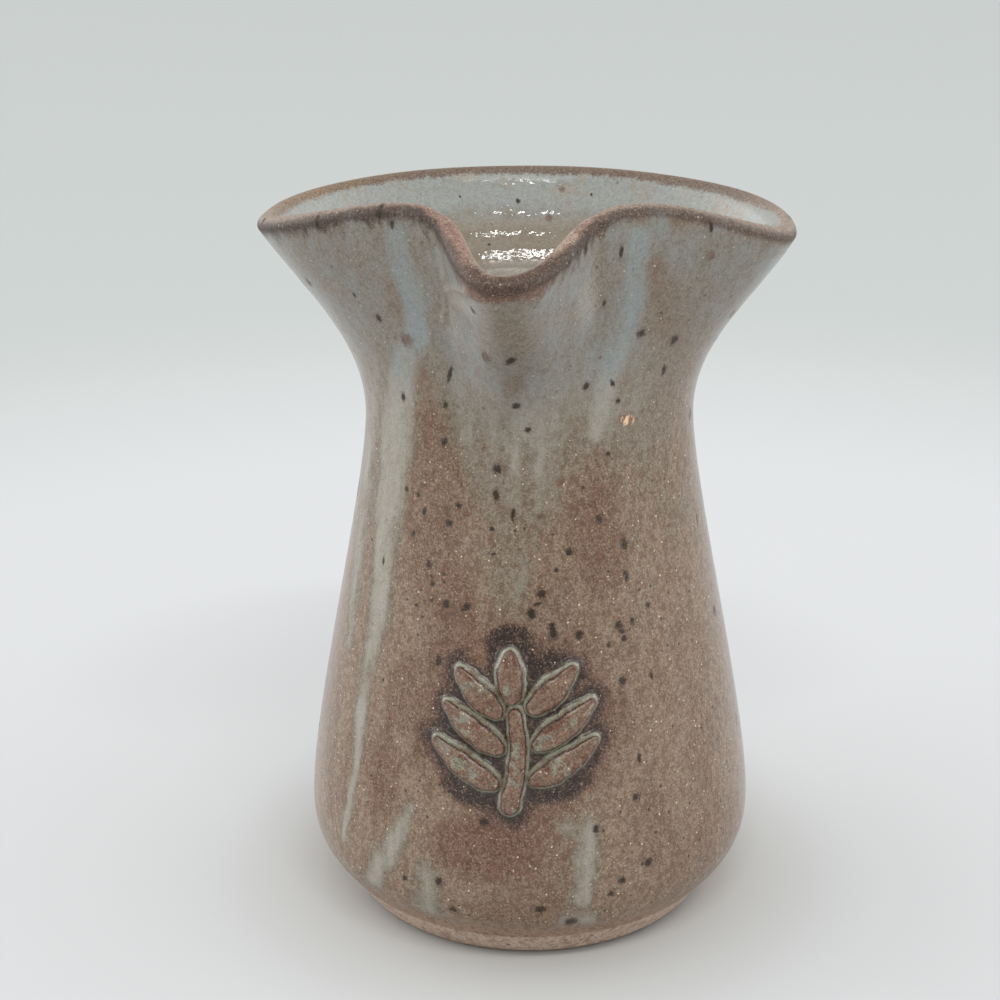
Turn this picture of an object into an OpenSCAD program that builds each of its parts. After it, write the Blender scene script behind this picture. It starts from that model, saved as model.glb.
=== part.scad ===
// Stoneware creamer: a thrown round wall with a flat bevelled foot, a waist and a flared collar
// whose rim is pinched into a pouring spout, with a leafy sprig laid on the belly below the spout.
// The origin is the middle of the foot, +Z is up and the spout points along -Y.
// Angles round the pot are counted from the spout, positive towards +X.

/* [Foot and belly] */
// Diameter of the flat foot
foot_d = 61.4; // [56:0.2:64]
// Diameter at the top of the bevel above the foot
bevel_d = 69; // [66:0.2:72]
// Height of the bevel
bevel_h = 5.5; // [3:0.1:8]
// Widest diameter of the belly
belly_d = 78; // [74:0.2:86]
// Height of the widest part of the belly
belly_z = 15.8; // [13:0.1:20]

/* [Waist and collar] */
// Diameter of the waist
waist_d = 55.2; // [50:0.2:62]
// Height of the waist
waist_z = 88; // [80:0.5:94]
// Diameter over the round of the rim
rim_d = 88.2; // [80:0.2:96]
// Height of the rim at the sides and the back
rim_z = 120.5; // [114:0.5:126]
// How far the rim sits off the middle of the foot, to the left of the spout
rim_shift = 0.6; // [0:0.1:2]
// Lean of the wall at the rim, in degrees from upright
flare_angle = 34; // [28:0.5:42]

/* [Wall] */
// Thickness of the floor
floor_t = 6; // [4:0.1:8]
// Thickness of the wall at the belly
belly_t = 4.6; // [3.5:0.1:6]
// Thickness of the wall at the waist
waist_t = 4; // [3:0.1:5]
// Thickness of the wall at the rim
rim_t = 3.4; // [2.6:0.1:4.2]

/* [Spout] */
// Depth of the finger dents on both sides of the spout, at the rim
dent_depth = 10.2; // [6:0.1:12]
// How far the lip is drawn out past the round of the rim
lip_reach = 2; // [0:0.1:5]
// How far the lip stands above the rim at the back
lip_rise = 0.8; // [0:0.1:2]
// How far the rim is raised beside the spout
shoulder_rise = 8.7; // [4:0.1:11]
// Angle from the middle of the spout to the deepest part of the dents
dent_angle = 22; // [18:0.5:26]

/* [Sprig] */
// Height of the middle of the sprig
sprig_z = 44; // [36:0.5:54]
// Height of the whole sprig
sprig_h = 27; // [24:0.5:30]
// Width of the stem where it starts
stem_w = 3.4; // [2.4:0.1:4]
// Length of the longest leaves
leaf_len = 13; // [10:0.1:14]
// Width of a leaf
leaf_w = 4.5; // [3.4:0.1:4.8]
// How far the sprig stands proud of the wall
relief_h = 1.9; // [1.2:0.1:2.4]
// Thickness of the slip that holds the sprig to the wall
slip_t = 0.05; // [0.04:0.01:0.1]

/* [Hidden] */

// Radii and heights that follow from the sizes above
foot_r = foot_d / 2;
bevel_r = bevel_d / 2;
belly_r = belly_d / 2;
waist_r = waist_d / 2;
rim_round_share = 0.8;
rim_crown_h = rim_round_share * rim_t / 2;
rim_lean_out = cos(flare_angle) * rim_t / 2;
rim_lean_up = sin(flare_angle) * rim_t / 2;
edge_r = rim_d / 2 + rim_lean_out - norm([rim_lean_out, sin(flare_angle) * rim_crown_h]);
edge_z = rim_z - rim_lean_up - norm([rim_lean_up, cos(flare_angle) * rim_crown_h]);
collar_h = edge_z - waist_z;
body_h = waist_z - belly_z;

// Shares that shape the wall between the heights above
belly_up_share = 0.211;
waist_down_share = 0.176;
neck_up_share = 0.418;
flare_share = 0.36;
bevel_out_share = 0.6;
bevel_up_share = 0.32;
belly_down_share = 0.5;
hollow_rise_share = 0.55;
floor_flat_share = 0.5;
corner_in_share = 0.75;
corner_down_share = 0.55;

// Faces along the wall and round the collar
corner_steps = 8;
belly_steps = 10;
body_steps = 26;
collar_steps = 13;
rim_steps = 5;
ring_steps = 76;
ring_crowding = 0.45;

// The collar starts a little inside the wall below it, which leaves a fine throwing line
throwing_line = 0.08;
collar_foot_h = 1;

// Angles of the pinched spout
dent_start_angle = 2;
dent_hold_angle = 28.5;
dent_end_angle = 88;
shoulder_full_angle = 28;
shoulder_hold_angle = 30;
shoulder_end_left_angle = 93;
shoulder_end_right_angle = 88;
side_fade_start_angle = 30;
side_fade_end_angle = 90;
left_width_share = 0.92;
right_width_share = 1.14;

// How quickly each part of the spout grows from the waist to the rim
dent_growth = 1.6;
lip_growth = 3;
rise_growth = 2;
shift_growth = 5;

// Smooth step from 0 to 1
function ease(x) = let (c = max(0, min(1, x))) c * c * (3 - 2 * c);

// Point at share u of a cubic curve
function curve(p0, p1, p2, p3, u) =
    (1 - u) ^ 3 * p0 + 3 * u * (1 - u) ^ 2 * p1 + 3 * u ^ 2 * (1 - u) * p2 + u ^ 3 * p3;

function unit(p) = p / norm(p);

// Outside of the wall as [radius, height], from the bevel to the belly
function belly_point(u) =
    let (rise = belly_z - bevel_h, swell = belly_r - bevel_r)
    curve(
        [bevel_r, bevel_h],
        [bevel_r + bevel_out_share * swell, bevel_h + bevel_up_share * rise],
        [belly_r, belly_z - belly_down_share * rise],
        [belly_r, belly_z],
        u
    );

// Outside of the wall from the belly to the waist
function body_point(u) =
    curve(
        [belly_r, belly_z],
        [belly_r, belly_z + belly_up_share * body_h],
        [waist_r, waist_z - waist_down_share * body_h],
        [waist_r, waist_z],
        u
    );

// Outside of the collar from the waist to the start of the rim's round, away from the spout
function collar_point(u) =
    let (flare = flare_share * norm([edge_r - waist_r, collar_h]))
    curve(
        [waist_r, waist_z],
        [waist_r, waist_z + neck_up_share * collar_h],
        [edge_r - flare * sin(flare_angle), edge_z - flare * cos(flare_angle)],
        [edge_r, edge_z],
        u
    );

halvings = 24;
// Share of a rising curve at which it reaches height z, by halving
function share_at(z, upper, low = 0, high = 1, left = halvings) =
    let (mid = (low + high) / 2)
    left == 0 ? mid
    : (upper ? body_point(mid).y : belly_point(mid).y) < z ? share_at(z, upper, mid, high, left - 1)
    : share_at(z, upper, low, mid, left - 1);

// Outside radius of the wall at height z
function wall_r(z) =
    z >= belly_z ? body_point(share_at(z, true)).x
    : z >= bevel_h ? belly_point(share_at(z, false)).x
    : foot_r + (bevel_r - foot_r) * z / bevel_h;

// Outline of the wall from the foot to the waist, outside up and inside down
hollow_z = floor_t + hollow_rise_share * belly_d / 4;
hollow_r = wall_r(hollow_z) - belly_t;
hollow_h = waist_z - hollow_z;
throat_r = waist_r - waist_t;
floor_r = floor_flat_share * hollow_r;

function hollow_point(u) =
    curve(
        [throat_r, waist_z],
        [throat_r, waist_z - waist_down_share * hollow_h],
        [hollow_r, hollow_z + belly_up_share * hollow_h],
        [hollow_r, hollow_z],
        u
    );

function corner_point(u) =
    curve(
        [hollow_r, hollow_z],
        [hollow_r, hollow_z - corner_down_share * (hollow_z - floor_t)],
        [floor_r + corner_in_share * (hollow_r - floor_r), floor_t],
        [floor_r, floor_t],
        u
    );

wall_outline = concat(
    [[0, 0], [foot_r, 0]],
    [for (i = [0 : belly_steps]) belly_point(i / belly_steps)],
    [for (i = [1 : body_steps]) body_point(i / body_steps)],
    [for (i = [0 : body_steps]) hollow_point(i / body_steps)],
    [for (i = [1 : corner_steps]) corner_point(i / corner_steps)],
    [[0, floor_t]]
);

// Angle from the spout, evened out so that both sides can use the same spout angles
function spout_reach(a) =
    let (
        side = a < 0 ? left_width_share : right_width_share,
        fade = 1 - ease((abs(a) - side_fade_start_angle) / (side_fade_end_angle - side_fade_start_angle))
    )
    abs(a) / (1 + (side - 1) * fade);

// Shares of the dents, the raised shoulders and the drawn lip at an angle from the spout
function dent_share(k) =
    ease((k - dent_start_angle) / (dent_angle - dent_start_angle))
    * (1 - ease((k - dent_hold_angle) / (dent_end_angle - dent_hold_angle)));

function rise_share(k, a) =
    let (end = a < 0 ? shoulder_end_left_angle : shoulder_end_right_angle)
    ease(k / shoulder_full_angle) * (1 - ease((k - shoulder_hold_angle) / (end - shoulder_hold_angle)));

function lip_share(k) = 1 - ease(k / dent_angle);

// Outside of the collar at angle a and share u of its height
function skin(a, u) =
    let (
        p = collar_point(u),
        grown = max(0, (p.y - waist_z) / collar_h),
        k = spout_reach(a),
        r = p.x - dent_depth * dent_share(k) * grown ^ dent_growth
            + lip_reach * lip_share(k) * grown ^ lip_growth,
        z = p.y + shoulder_rise * rise_share(k, a) * grown ^ rise_growth
            + lip_rise * lip_share(k) * grown ^ lip_growth
    )
    [r * sin(a) - rim_shift * grown ^ shift_growth, -r * cos(a), z];

// Directions on the skin: along the ring, up the wall and straight out
probe_angle = 0.2;
probe_share = 0.002;
function along(a, u) = unit(skin(a + probe_angle, u) - skin(a - probe_angle, u));
function up_wall(a, u) =
    unit(skin(a, min(1, u + probe_share)) - skin(a, max(0, u - probe_share)));
function straight_out(a, u) = unit(cross(along(a, u), up_wall(a, u)));

function collar_t(u) = waist_t + (rim_t - waist_t) * u;

// One upright line of points of the collar: up the outside, over the rim and down the inside
function collar_line(a) =
    let (
        spoke = [sin(a), -cos(a), 0],
        out = straight_out(a, 1),
        over = unit(cross(out, along(a, 1))),
        middle = skin(a, 1) - out * rim_t / 2
    )
    concat(
        [
            spoke * (waist_r - throwing_line) + [0, 0, waist_z - collar_foot_h],
            spoke * (waist_r - throwing_line) + [0, 0, waist_z]
        ],
        [for (i = [1 : collar_steps]) skin(a, i / collar_steps)],
        [for (i = [1 : rim_steps])
            let (turn = 180 * i / (rim_steps + 1))
            middle + out * cos(turn) * rim_t / 2 + over * sin(turn) * rim_crown_h],
        [for (i = [collar_steps : -1 : 1])
            let (u = i / collar_steps)
            skin(a, u) - straight_out(a, u) * collar_t(u)],
        [
            spoke * (throat_r + throwing_line) + [0, 0, waist_z],
            spoke * (throat_r + throwing_line) + [0, 0, waist_z - collar_foot_h]
        ]
    );

// Angles round the collar, closer together at the spout
function ring_angle(i) =
    let (even = 360 * i / ring_steps - 180)
    even - ring_crowding * sin(even) * 180 / PI;

// Faces of a closed tube of rows, each row with the same count of points
function loop_faces(rows, points) = [
    for (i = [0 : rows - 1])
        for (j = [0 : points - 1])
            let (
                a = i * points + j,
                b = i * points + (j + 1) % points,
                c = (i + 1) % rows * points + (j + 1) % points,
                d = (i + 1) % rows * points + j
            )
            each [[a, b, c], [a, c, d]]
];

module collar() {
    lines = [for (i = [0 : ring_steps - 1]) collar_line(ring_angle(i))];
    points = [for (line = lines) each line];
    polyhedron(points = points, faces = loop_faces(ring_steps, len(lines[0])), convexity = 6);
}

module thrown_wall() {
    rotate_extrude($fn = 96)
        polygon(wall_outline);
}

module body() {
    color("#8d8478")
        union() {
            thrown_wall();
            collar();
        }
}

// The sprig is drawn flat, as [across, up] from its middle, and laid on the wall
stem_foot_share = -0.5;
stem_top_share = 0.16;
stem_sway_share = 0.045;
stem_taper_share = 0.7;
stem_rows = 14;
leaf_rows = 10;
leaf_across = 6;
leaf_end_share = 0.3;
leaf_belly_power = 0.8;
leaf_curl_angle = 16;
leaf_seat_gap = 0.3;
edge_share = 0.5;
groove_share = 0.16;
end_drop_share = 0.35;
high_leaf_share = 0.8;
middle_leaf_share = 0.95;
low_node_share = -0.33;
middle_node_share = -0.115;
high_node_share = 0.1;
right_lift_share = 0.03;
low_leaf_angle = 58;
middle_leaf_angle = 54;
high_leaf_angle = 46;

// Middle of the stem at share s of its length
function stem_mid(s) =
    let (y = (stem_foot_share + (stem_top_share - stem_foot_share) * s) * sprig_h)
    [stem_sway_share * sprig_h * sin(180 * (s - 0.1)), y];

function stem_share_at(y_share) = (y_share - stem_foot_share) / (stem_top_share - stem_foot_share);
function stem_half(s) = stem_w / 2 * (1 - (1 - stem_taper_share) * s);

// Rows of a strip as [middle, direction in degrees from upright, half width, height]
stem_strip = [
    for (i = [0 : stem_rows])
        let (
            s = i / stem_rows,
            ahead = stem_mid(min(1, s + probe_share)) - stem_mid(max(0, s - probe_share)),
            end = sin(180 * min(1, max(0, s)))
        )
        [
            stem_mid(s),
            atan2(ahead.x, ahead.y),
            stem_half(s) * (leaf_end_share + (1 - leaf_end_share) * min(1, 4 * end)),
            relief_h * (1 - end_drop_share * (1 - min(1, 4 * end)))
        ]
];

// A leaf that starts at a point, leans by an angle and curls up towards its tip
function leaf_strip(start, lean, length) =
    let (bend = lean < 0 ? -leaf_curl_angle : leaf_curl_angle)
    [
        for (i = [0 : leaf_rows])
            let (
                s = i / leaf_rows,
                way = lean - bend * (s - 0.5),
                chord = lean - bend * (s - 1) / 2,
                swell = sin(180 * s ^ leaf_belly_power)
            )
            [
                start + length * s * [sin(chord), cos(chord)],
                way,
                leaf_w / 2 * (leaf_end_share + (1 - leaf_end_share) * swell),
                relief_h * (1 - end_drop_share * (1 - swell))
            ]
    ];

// A side leaf that grows from the stem at a share of the sprig's height
function side_leaf(node_share, lean, length_share) =
    let (
        s = stem_share_at(node_share),
        side = lean < 0 ? -1 : 1,
        clear = stem_half(s) + leaf_seat_gap + leaf_end_share * leaf_w / 2 * cos(lean),
        start = stem_mid(s) + [side * clear, 0]
    )
    leaf_strip(start, lean, leaf_len * length_share);

// Point at height h above the wall's face, at a flat place on the sprig
function on_wall(flat, h) =
    let (
        z = sprig_z + flat.y,
        r = wall_r(z),
        fine = body_h * probe_share,
        lean = (wall_r(z + fine) - wall_r(z - fine)) / (2 * fine),
        out = unit([1, -lean]),
        a = flat.x / r * 180 / PI,
        reach = r + out.x * h
    )
    [reach * sin(a), -reach * cos(a), z + out.y * h];

// Height of a strip's top across its width, with a fine groove along the middle
function strip_top(t, h, groove) =
    h * (edge_share + (1 - edge_share) * sqrt(max(0, 1 - t ^ 2)))
    - (t == 0 ? groove * h : 0);

// One strip of clay laid on the wall
module laid_strip(rows, groove) {
    count = 2 * (leaf_across + 1);
    points = [
        for (row = rows)
            let (across = [cos(row[1]), -sin(row[1])])
            each concat(
                [for (j = [0 : leaf_across])
                    let (t = 2 * j / leaf_across - 1)
                    on_wall(row[0] + across * t * row[2], slip_t + strip_top(t, row[3], groove))],
                [for (j = [leaf_across : -1 : 0])
                    let (t = 2 * j / leaf_across - 1)
                    on_wall(row[0] + across * t * row[2], slip_t)]
            )
    ];
    sides = [
        for (i = [0 : len(rows) - 2])
            for (j = [0 : count - 1])
                let (
                    a = i * count + j,
                    b = i * count + (j + 1) % count,
                    c = (i + 1) * count + (j + 1) % count,
                    d = (i + 1) * count + j
                )
                each [[a, c, b], [a, d, c]]
    ];
    last = (len(rows) - 1) * count;
    ends = [
        for (j = [0 : leaf_across - 1])
            each [
                [j, j + 1, count - 2 - j],
                [j, count - 2 - j, count - 1 - j],
                [last + j, last + count - 2 - j, last + j + 1],
                [last + j, last + count - 1 - j, last + count - 2 - j]
            ]
    ];
    polyhedron(points = points, faces = concat(sides, ends), convexity = 4);
}

module stem() {
    color("#7a6150")
        laid_strip(stem_strip, 0);
}

module leaf(rows) {
    color("#86705e")
        laid_strip(rows, groove_share);
}

module leaf_tip() {
    start = stem_mid(1) + [0, leaf_seat_gap];
    leaf(leaf_strip(start, -leaf_curl_angle / 4, -stem_foot_share * sprig_h - start.y));
}

module leaf_left_low() {
    leaf(side_leaf(low_node_share, -low_leaf_angle, 1));
}

module leaf_left_middle() {
    leaf(side_leaf(middle_node_share, -middle_leaf_angle, middle_leaf_share));
}

module leaf_left_high() {
    leaf(side_leaf(high_node_share, -high_leaf_angle, high_leaf_share));
}

module leaf_right_low() {
    leaf(side_leaf(low_node_share + right_lift_share, low_leaf_angle, 1));
}

module leaf_right_middle() {
    leaf(side_leaf(middle_node_share + right_lift_share, middle_leaf_angle, middle_leaf_share));
}

module leaf_right_high() {
    leaf(side_leaf(high_node_share + right_lift_share, high_leaf_angle, high_leaf_share));
}

body();
stem();
leaf_tip();
leaf_left_low();
leaf_left_middle();
leaf_left_high();
leaf_right_low();
leaf_right_middle();
leaf_right_high();
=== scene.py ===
"""Looks of a thrown stoneware creamer with a pinched spout and a leafy sprig on its belly."""

import logging
import math
from collections.abc import Iterable, Mapping, Sequence
from dataclasses import dataclass, field
from enum import Enum

import bpy
import numpy as np
from mathutils import Matrix, Vector
from mathutils.bvhtree import BVHTree


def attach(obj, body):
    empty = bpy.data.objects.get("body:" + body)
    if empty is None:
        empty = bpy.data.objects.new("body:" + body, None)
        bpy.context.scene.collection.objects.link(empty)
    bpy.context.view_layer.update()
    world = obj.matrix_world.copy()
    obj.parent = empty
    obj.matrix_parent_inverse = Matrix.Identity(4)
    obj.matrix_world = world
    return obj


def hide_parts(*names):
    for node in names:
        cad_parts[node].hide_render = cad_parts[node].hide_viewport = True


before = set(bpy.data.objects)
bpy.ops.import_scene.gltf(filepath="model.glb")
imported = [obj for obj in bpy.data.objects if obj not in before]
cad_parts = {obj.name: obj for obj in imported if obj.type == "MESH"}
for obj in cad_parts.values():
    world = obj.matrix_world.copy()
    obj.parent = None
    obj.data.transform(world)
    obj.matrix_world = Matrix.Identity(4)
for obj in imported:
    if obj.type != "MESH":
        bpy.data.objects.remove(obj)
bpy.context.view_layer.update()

log = logging.getLogger("creamer")

Array = np.ndarray
Colour = tuple[float, float, float, float]
Triple = tuple[float, float, float]
Span = tuple[float, float]
Line = tuple[list[Triple], float]
Settings = Mapping[str, object] | None
Inputs = Mapping[str | int, object] | None

METRE_PER_MM = 0.001
HALF_TURN = 180.0
FULL_TURN = 360.0
TINY = 1e-9
FAR_OFF = 9.0


def ease(share: Array | float) -> Array:
    """Returns a smooth step from 0 at share 0 to 1 at share 1."""
    held = np.clip(share, 0.0, 1.0)
    return held * held * (3.0 - 2.0 * held)


def ramp(value: Array | float, start: float, end: Array | float) -> Array:
    """Returns a smooth step from 0 at start to 1 at end."""
    return ease((value - start) / (end - start))


def unit(vectors: Array) -> Array:
    """Returns vectors of length 1 along the last axis."""
    return vectors / np.linalg.norm(vectors, axis=-1, keepdims=True)


def cubic(points: Sequence[Sequence[float]], share: Array) -> Array:
    """Points of a cubic curve.

    Args:
        points: the four points that pull the curve.
        share: shares of its length to give points at.

    Returns:
        One row per share, as wide as a point.
    """
    p0, p1, p2, p3 = (np.array(point, float) for point in points)
    u = np.asarray(share, float)[..., None]
    v = 1.0 - u
    return v**3 * p0 + 3 * u * v**2 * p1 + 3 * u**2 * v * p2 + u**3 * p3


def revolved(line: Array, angles: Array) -> Array:
    """Turns a line round the upright axis.

    Args:
        line: rows of radius and height.
        angles: angles round the pot from the spout, in degrees.

    Returns:
        Points as (rows, angles, 3).
    """
    turn = np.radians(angles)[None, :]
    r, z = line[:, 0][:, None], line[:, 1][:, None]
    return np.stack([r * np.sin(turn), -r * np.cos(turn), z + 0 * turn], -1)


def after_first(count: int) -> Array:
    """Returns even shares up to 1, without the 0 that they start from."""
    return np.linspace(0.0, 1.0, count)[1:]


def wave_sum(turn: Array, waves: Sequence[Triple]) -> Array:
    """Returns the sum of waves round the pot, each given as (height, count, start)."""
    return sum(high * np.sin(count * turn + start) for high, count, start in waves)


def ripple(rng: np.random.Generator, count: int) -> list[Triple]:
    """Draws waves for a hand-made unevenness.

    Args:
        rng: the source of the draws.
        count: how many waves to draw.

    Returns:
        For each wave its turns round the pot, its turns per millimetre of height and its start.
    """
    return [
        (float(rng.integers(1, 6)), float(rng.uniform(-0.012, 0.012)), float(rng.uniform(0, 2 * math.pi)))
        for _ in range(count)
    ]


@dataclass(frozen=True)
class WallShape:
    """Sizes of the thrown wall in millimetres, the same as those of the solid."""

    foot_r: float = 30.7
    bevel_r: float = 34.5
    bevel_h: float = 5.5
    belly_r: float = 39.0
    belly_z: float = 15.8
    waist_r: float = 27.6
    waist_z: float = 88.0
    rim_r: float = 44.1
    rim_z: float = 120.5
    flare_angle: float = 34.0
    floor_t: float = 6.0
    belly_t: float = 4.6
    waist_t: float = 4.0
    rim_t: float = 3.4
    dent_depth: float = 10.2
    lip_reach: float = 2.0
    lip_rise: float = 0.8
    shoulder_rise: float = 8.7
    dent_angle: float = 22.0

    belly_up_share: float = 0.211
    waist_down_share: float = 0.176
    neck_up_share: float = 0.418
    flare_share: float = 0.36
    bevel_out_share: float = 0.6
    bevel_up_share: float = 0.32
    belly_down_share: float = 0.5
    hollow_rise_share: float = 0.55
    floor_flat_share: float = 0.5
    corner_in_share: float = 0.75
    corner_down_share: float = 0.55
    rim_round_share: float = 0.8

    dent_start_angle: float = 2.0
    dent_hold_angle: float = 28.5
    dent_end_angle: float = 88.0
    shoulder_full_angle: float = 28.0
    shoulder_hold_angle: float = 30.0
    shoulder_end_left_angle: float = 93.0
    shoulder_end_right_angle: float = 88.0
    side_fade_start_angle: float = 30.0
    side_fade_end_angle: float = 90.0
    left_width_share: float = 0.92
    right_width_share: float = 1.14
    dent_growth: float = 1.6
    lip_growth: float = 3.0
    rise_growth: float = 2.0
    rim_shift: float = 0.6
    shift_growth: float = 5.0
    probe_angle: float = 0.2
    probe_share: float = 0.002
    line_points: int = 400

    @property
    def lean(self) -> float:
        """Lean of the wall at the rim, in radians."""
        return math.radians(self.flare_angle)

    @property
    def crown_h(self) -> float:
        """Height of the rim's round above the edge of the wall."""
        return self.rim_round_share * self.rim_t / 2

    @property
    def edge_r(self) -> float:
        """Radius at which the rim's round starts, away from the spout."""
        out = math.cos(self.lean) * self.rim_t / 2
        return self.rim_r + out - math.hypot(out, math.sin(self.lean) * self.crown_h)

    @property
    def edge_z(self) -> float:
        """Height at which the rim's round starts, away from the spout."""
        up = math.sin(self.lean) * self.rim_t / 2
        return self.rim_z - up - math.hypot(up, math.cos(self.lean) * self.crown_h)

    @property
    def collar_h(self) -> float:
        """Height of the collar up to the rim's round."""
        return self.edge_z - self.waist_z

    def belly(self, share: Array) -> Array:
        """Returns radius and height of the outside from the bevel to the belly."""
        rise, swell = self.belly_z - self.bevel_h, self.belly_r - self.bevel_r
        out = (self.bevel_r + self.bevel_out_share * swell, self.bevel_h + self.bevel_up_share * rise)
        down = (self.belly_r, self.belly_z - self.belly_down_share * rise)
        return cubic(((self.bevel_r, self.bevel_h), out, down, (self.belly_r, self.belly_z)), share)

    def body(self, share: Array) -> Array:
        """Returns radius and height of the outside from the belly to the waist."""
        rise = self.waist_z - self.belly_z
        up = (self.belly_r, self.belly_z + self.belly_up_share * rise)
        down = (self.waist_r, self.waist_z - self.waist_down_share * rise)
        return cubic(((self.belly_r, self.belly_z), up, down, (self.waist_r, self.waist_z)), share)

    def collar(self, share: Array) -> Array:
        """Returns radius and height of the outside of the collar, away from the spout."""
        flare = self.flare_share * math.hypot(self.edge_r - self.waist_r, self.collar_h)
        up = (self.waist_r, self.waist_z + self.neck_up_share * self.collar_h)
        down = (self.edge_r - flare * math.sin(self.lean), self.edge_z - flare * math.cos(self.lean))
        return cubic(((self.waist_r, self.waist_z), up, down, (self.edge_r, self.edge_z)), share)

    def wall_r(self, height: Array) -> Array:
        """Returns the outside radius at heights between the foot and the waist."""
        fine = np.linspace(0.0, 1.0, self.line_points)
        line = np.vstack([[[self.foot_r, 0.0]], self.belly(fine), self.body(fine)[1:]])
        return np.interp(height, line[:, 1], line[:, 0])

    @property
    def hollow_z(self) -> float:
        """Height at which the hollow is widest."""
        return self.floor_t + self.hollow_rise_share * self.belly_r / 2

    @property
    def hollow_r(self) -> float:
        """Widest radius of the hollow."""
        return float(self.wall_r(np.array(self.hollow_z))) - self.belly_t

    def hollow(self, share: Array) -> Array:
        """Returns radius and height of the inside from the waist down to the belly."""
        deep = self.waist_z - self.hollow_z
        throat = self.waist_r - self.waist_t
        down = (throat, self.waist_z - self.waist_down_share * deep)
        up = (self.hollow_r, self.hollow_z + self.belly_up_share * deep)
        return cubic(((throat, self.waist_z), down, up, (self.hollow_r, self.hollow_z)), share)

    def corner(self, share: Array) -> Array:
        """Returns radius and height of the inside from the belly to the flat floor."""
        floor_r = self.floor_flat_share * self.hollow_r
        down = (self.hollow_r, self.hollow_z - self.corner_down_share * (self.hollow_z - self.floor_t))
        inward = (floor_r + self.corner_in_share * (self.hollow_r - floor_r), self.floor_t)
        return cubic(((self.hollow_r, self.hollow_z), down, inward, (floor_r, self.floor_t)), share)

    def spout_reach(self, angle: Array) -> Array:
        """Returns angles from the spout, evened out between its two sides."""
        off = np.abs(angle)
        side = np.where(angle < 0, self.left_width_share, self.right_width_share)
        fade = 1.0 - ramp(off, self.side_fade_start_angle, self.side_fade_end_angle)
        return off / (1.0 + (side - 1.0) * fade)

    def skin(self, angle: Array, share: Array) -> Array:
        """Outside of the collar with its pinched spout.

        Args:
            angle: angles round the pot, in degrees.
            share: shares of the collar's height.

        Returns:
            Points as (shares, angles, 3).
        """
        line = self.collar(share)
        grown = np.clip((line[:, 1] - self.waist_z) / self.collar_h, 0.0, None)[:, None]
        reach = self.spout_reach(angle)
        lip = 1.0 - ease(reach / self.dent_angle)
        dent = ramp(reach, self.dent_start_angle, self.dent_angle)
        dent = dent * (1.0 - ramp(reach, self.dent_hold_angle, self.dent_end_angle))
        end = np.where(angle < 0, self.shoulder_end_left_angle, self.shoulder_end_right_angle)
        rise = ease(reach / self.shoulder_full_angle)
        rise = rise * (1.0 - ramp(reach, self.shoulder_hold_angle, end))
        drawn = grown**self.lip_growth * lip
        r = line[:, :1] - self.dent_depth * dent * grown**self.dent_growth + self.lip_reach * drawn
        z = line[:, 1:] + self.shoulder_rise * rise * grown**self.rise_growth + self.lip_rise * drawn
        turn = np.radians(angle)[None, :]
        shift = self.rim_shift * grown**self.shift_growth
        return np.stack([r * np.sin(turn) - shift, -r * np.cos(turn), z], -1)

    def round_way(self, angle: Array, share: Array) -> Array:
        """Returns the direction round the collar at each angle and share."""
        ahead = self.skin(angle + self.probe_angle, share)
        return unit(ahead - self.skin(angle - self.probe_angle, share))

    def straight_out(self, angle: Array, share: Array) -> Array:
        """Returns the direction straight out of the collar's skin."""
        above = self.skin(angle, np.minimum(1.0, share + self.probe_share))
        below = self.skin(angle, np.maximum(0.0, share - self.probe_share))
        return unit(np.cross(self.round_way(angle, share), above - below))

    def collar_inside(self, angle: Array, share: Array) -> Array:
        """Returns points of the collar's inside, one wall in from the skin."""
        wall = self.waist_t + (self.rim_t - self.waist_t) * share
        return self.skin(angle, share) - self.straight_out(angle, share) * wall[:, None, None]

    def rim(self, angle: Array, turn: Array) -> Array:
        """Points over the round of the rim.

        Args:
            angle: angles round the pot, in degrees.
            turn: turns over the rim, 0 outside and 180 inside, in degrees.

        Returns:
            Points as (turns, angles, 3).
        """
        top = np.array([1.0])
        out = self.straight_out(angle, top)
        over = unit(np.cross(out, self.round_way(angle, top)))
        middle = self.skin(angle, top) - out * self.rim_t / 2
        bend = np.radians(turn)[:, None, None]
        return middle + out * np.cos(bend) * self.rim_t / 2 + over * np.sin(bend) * self.crown_h


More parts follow.
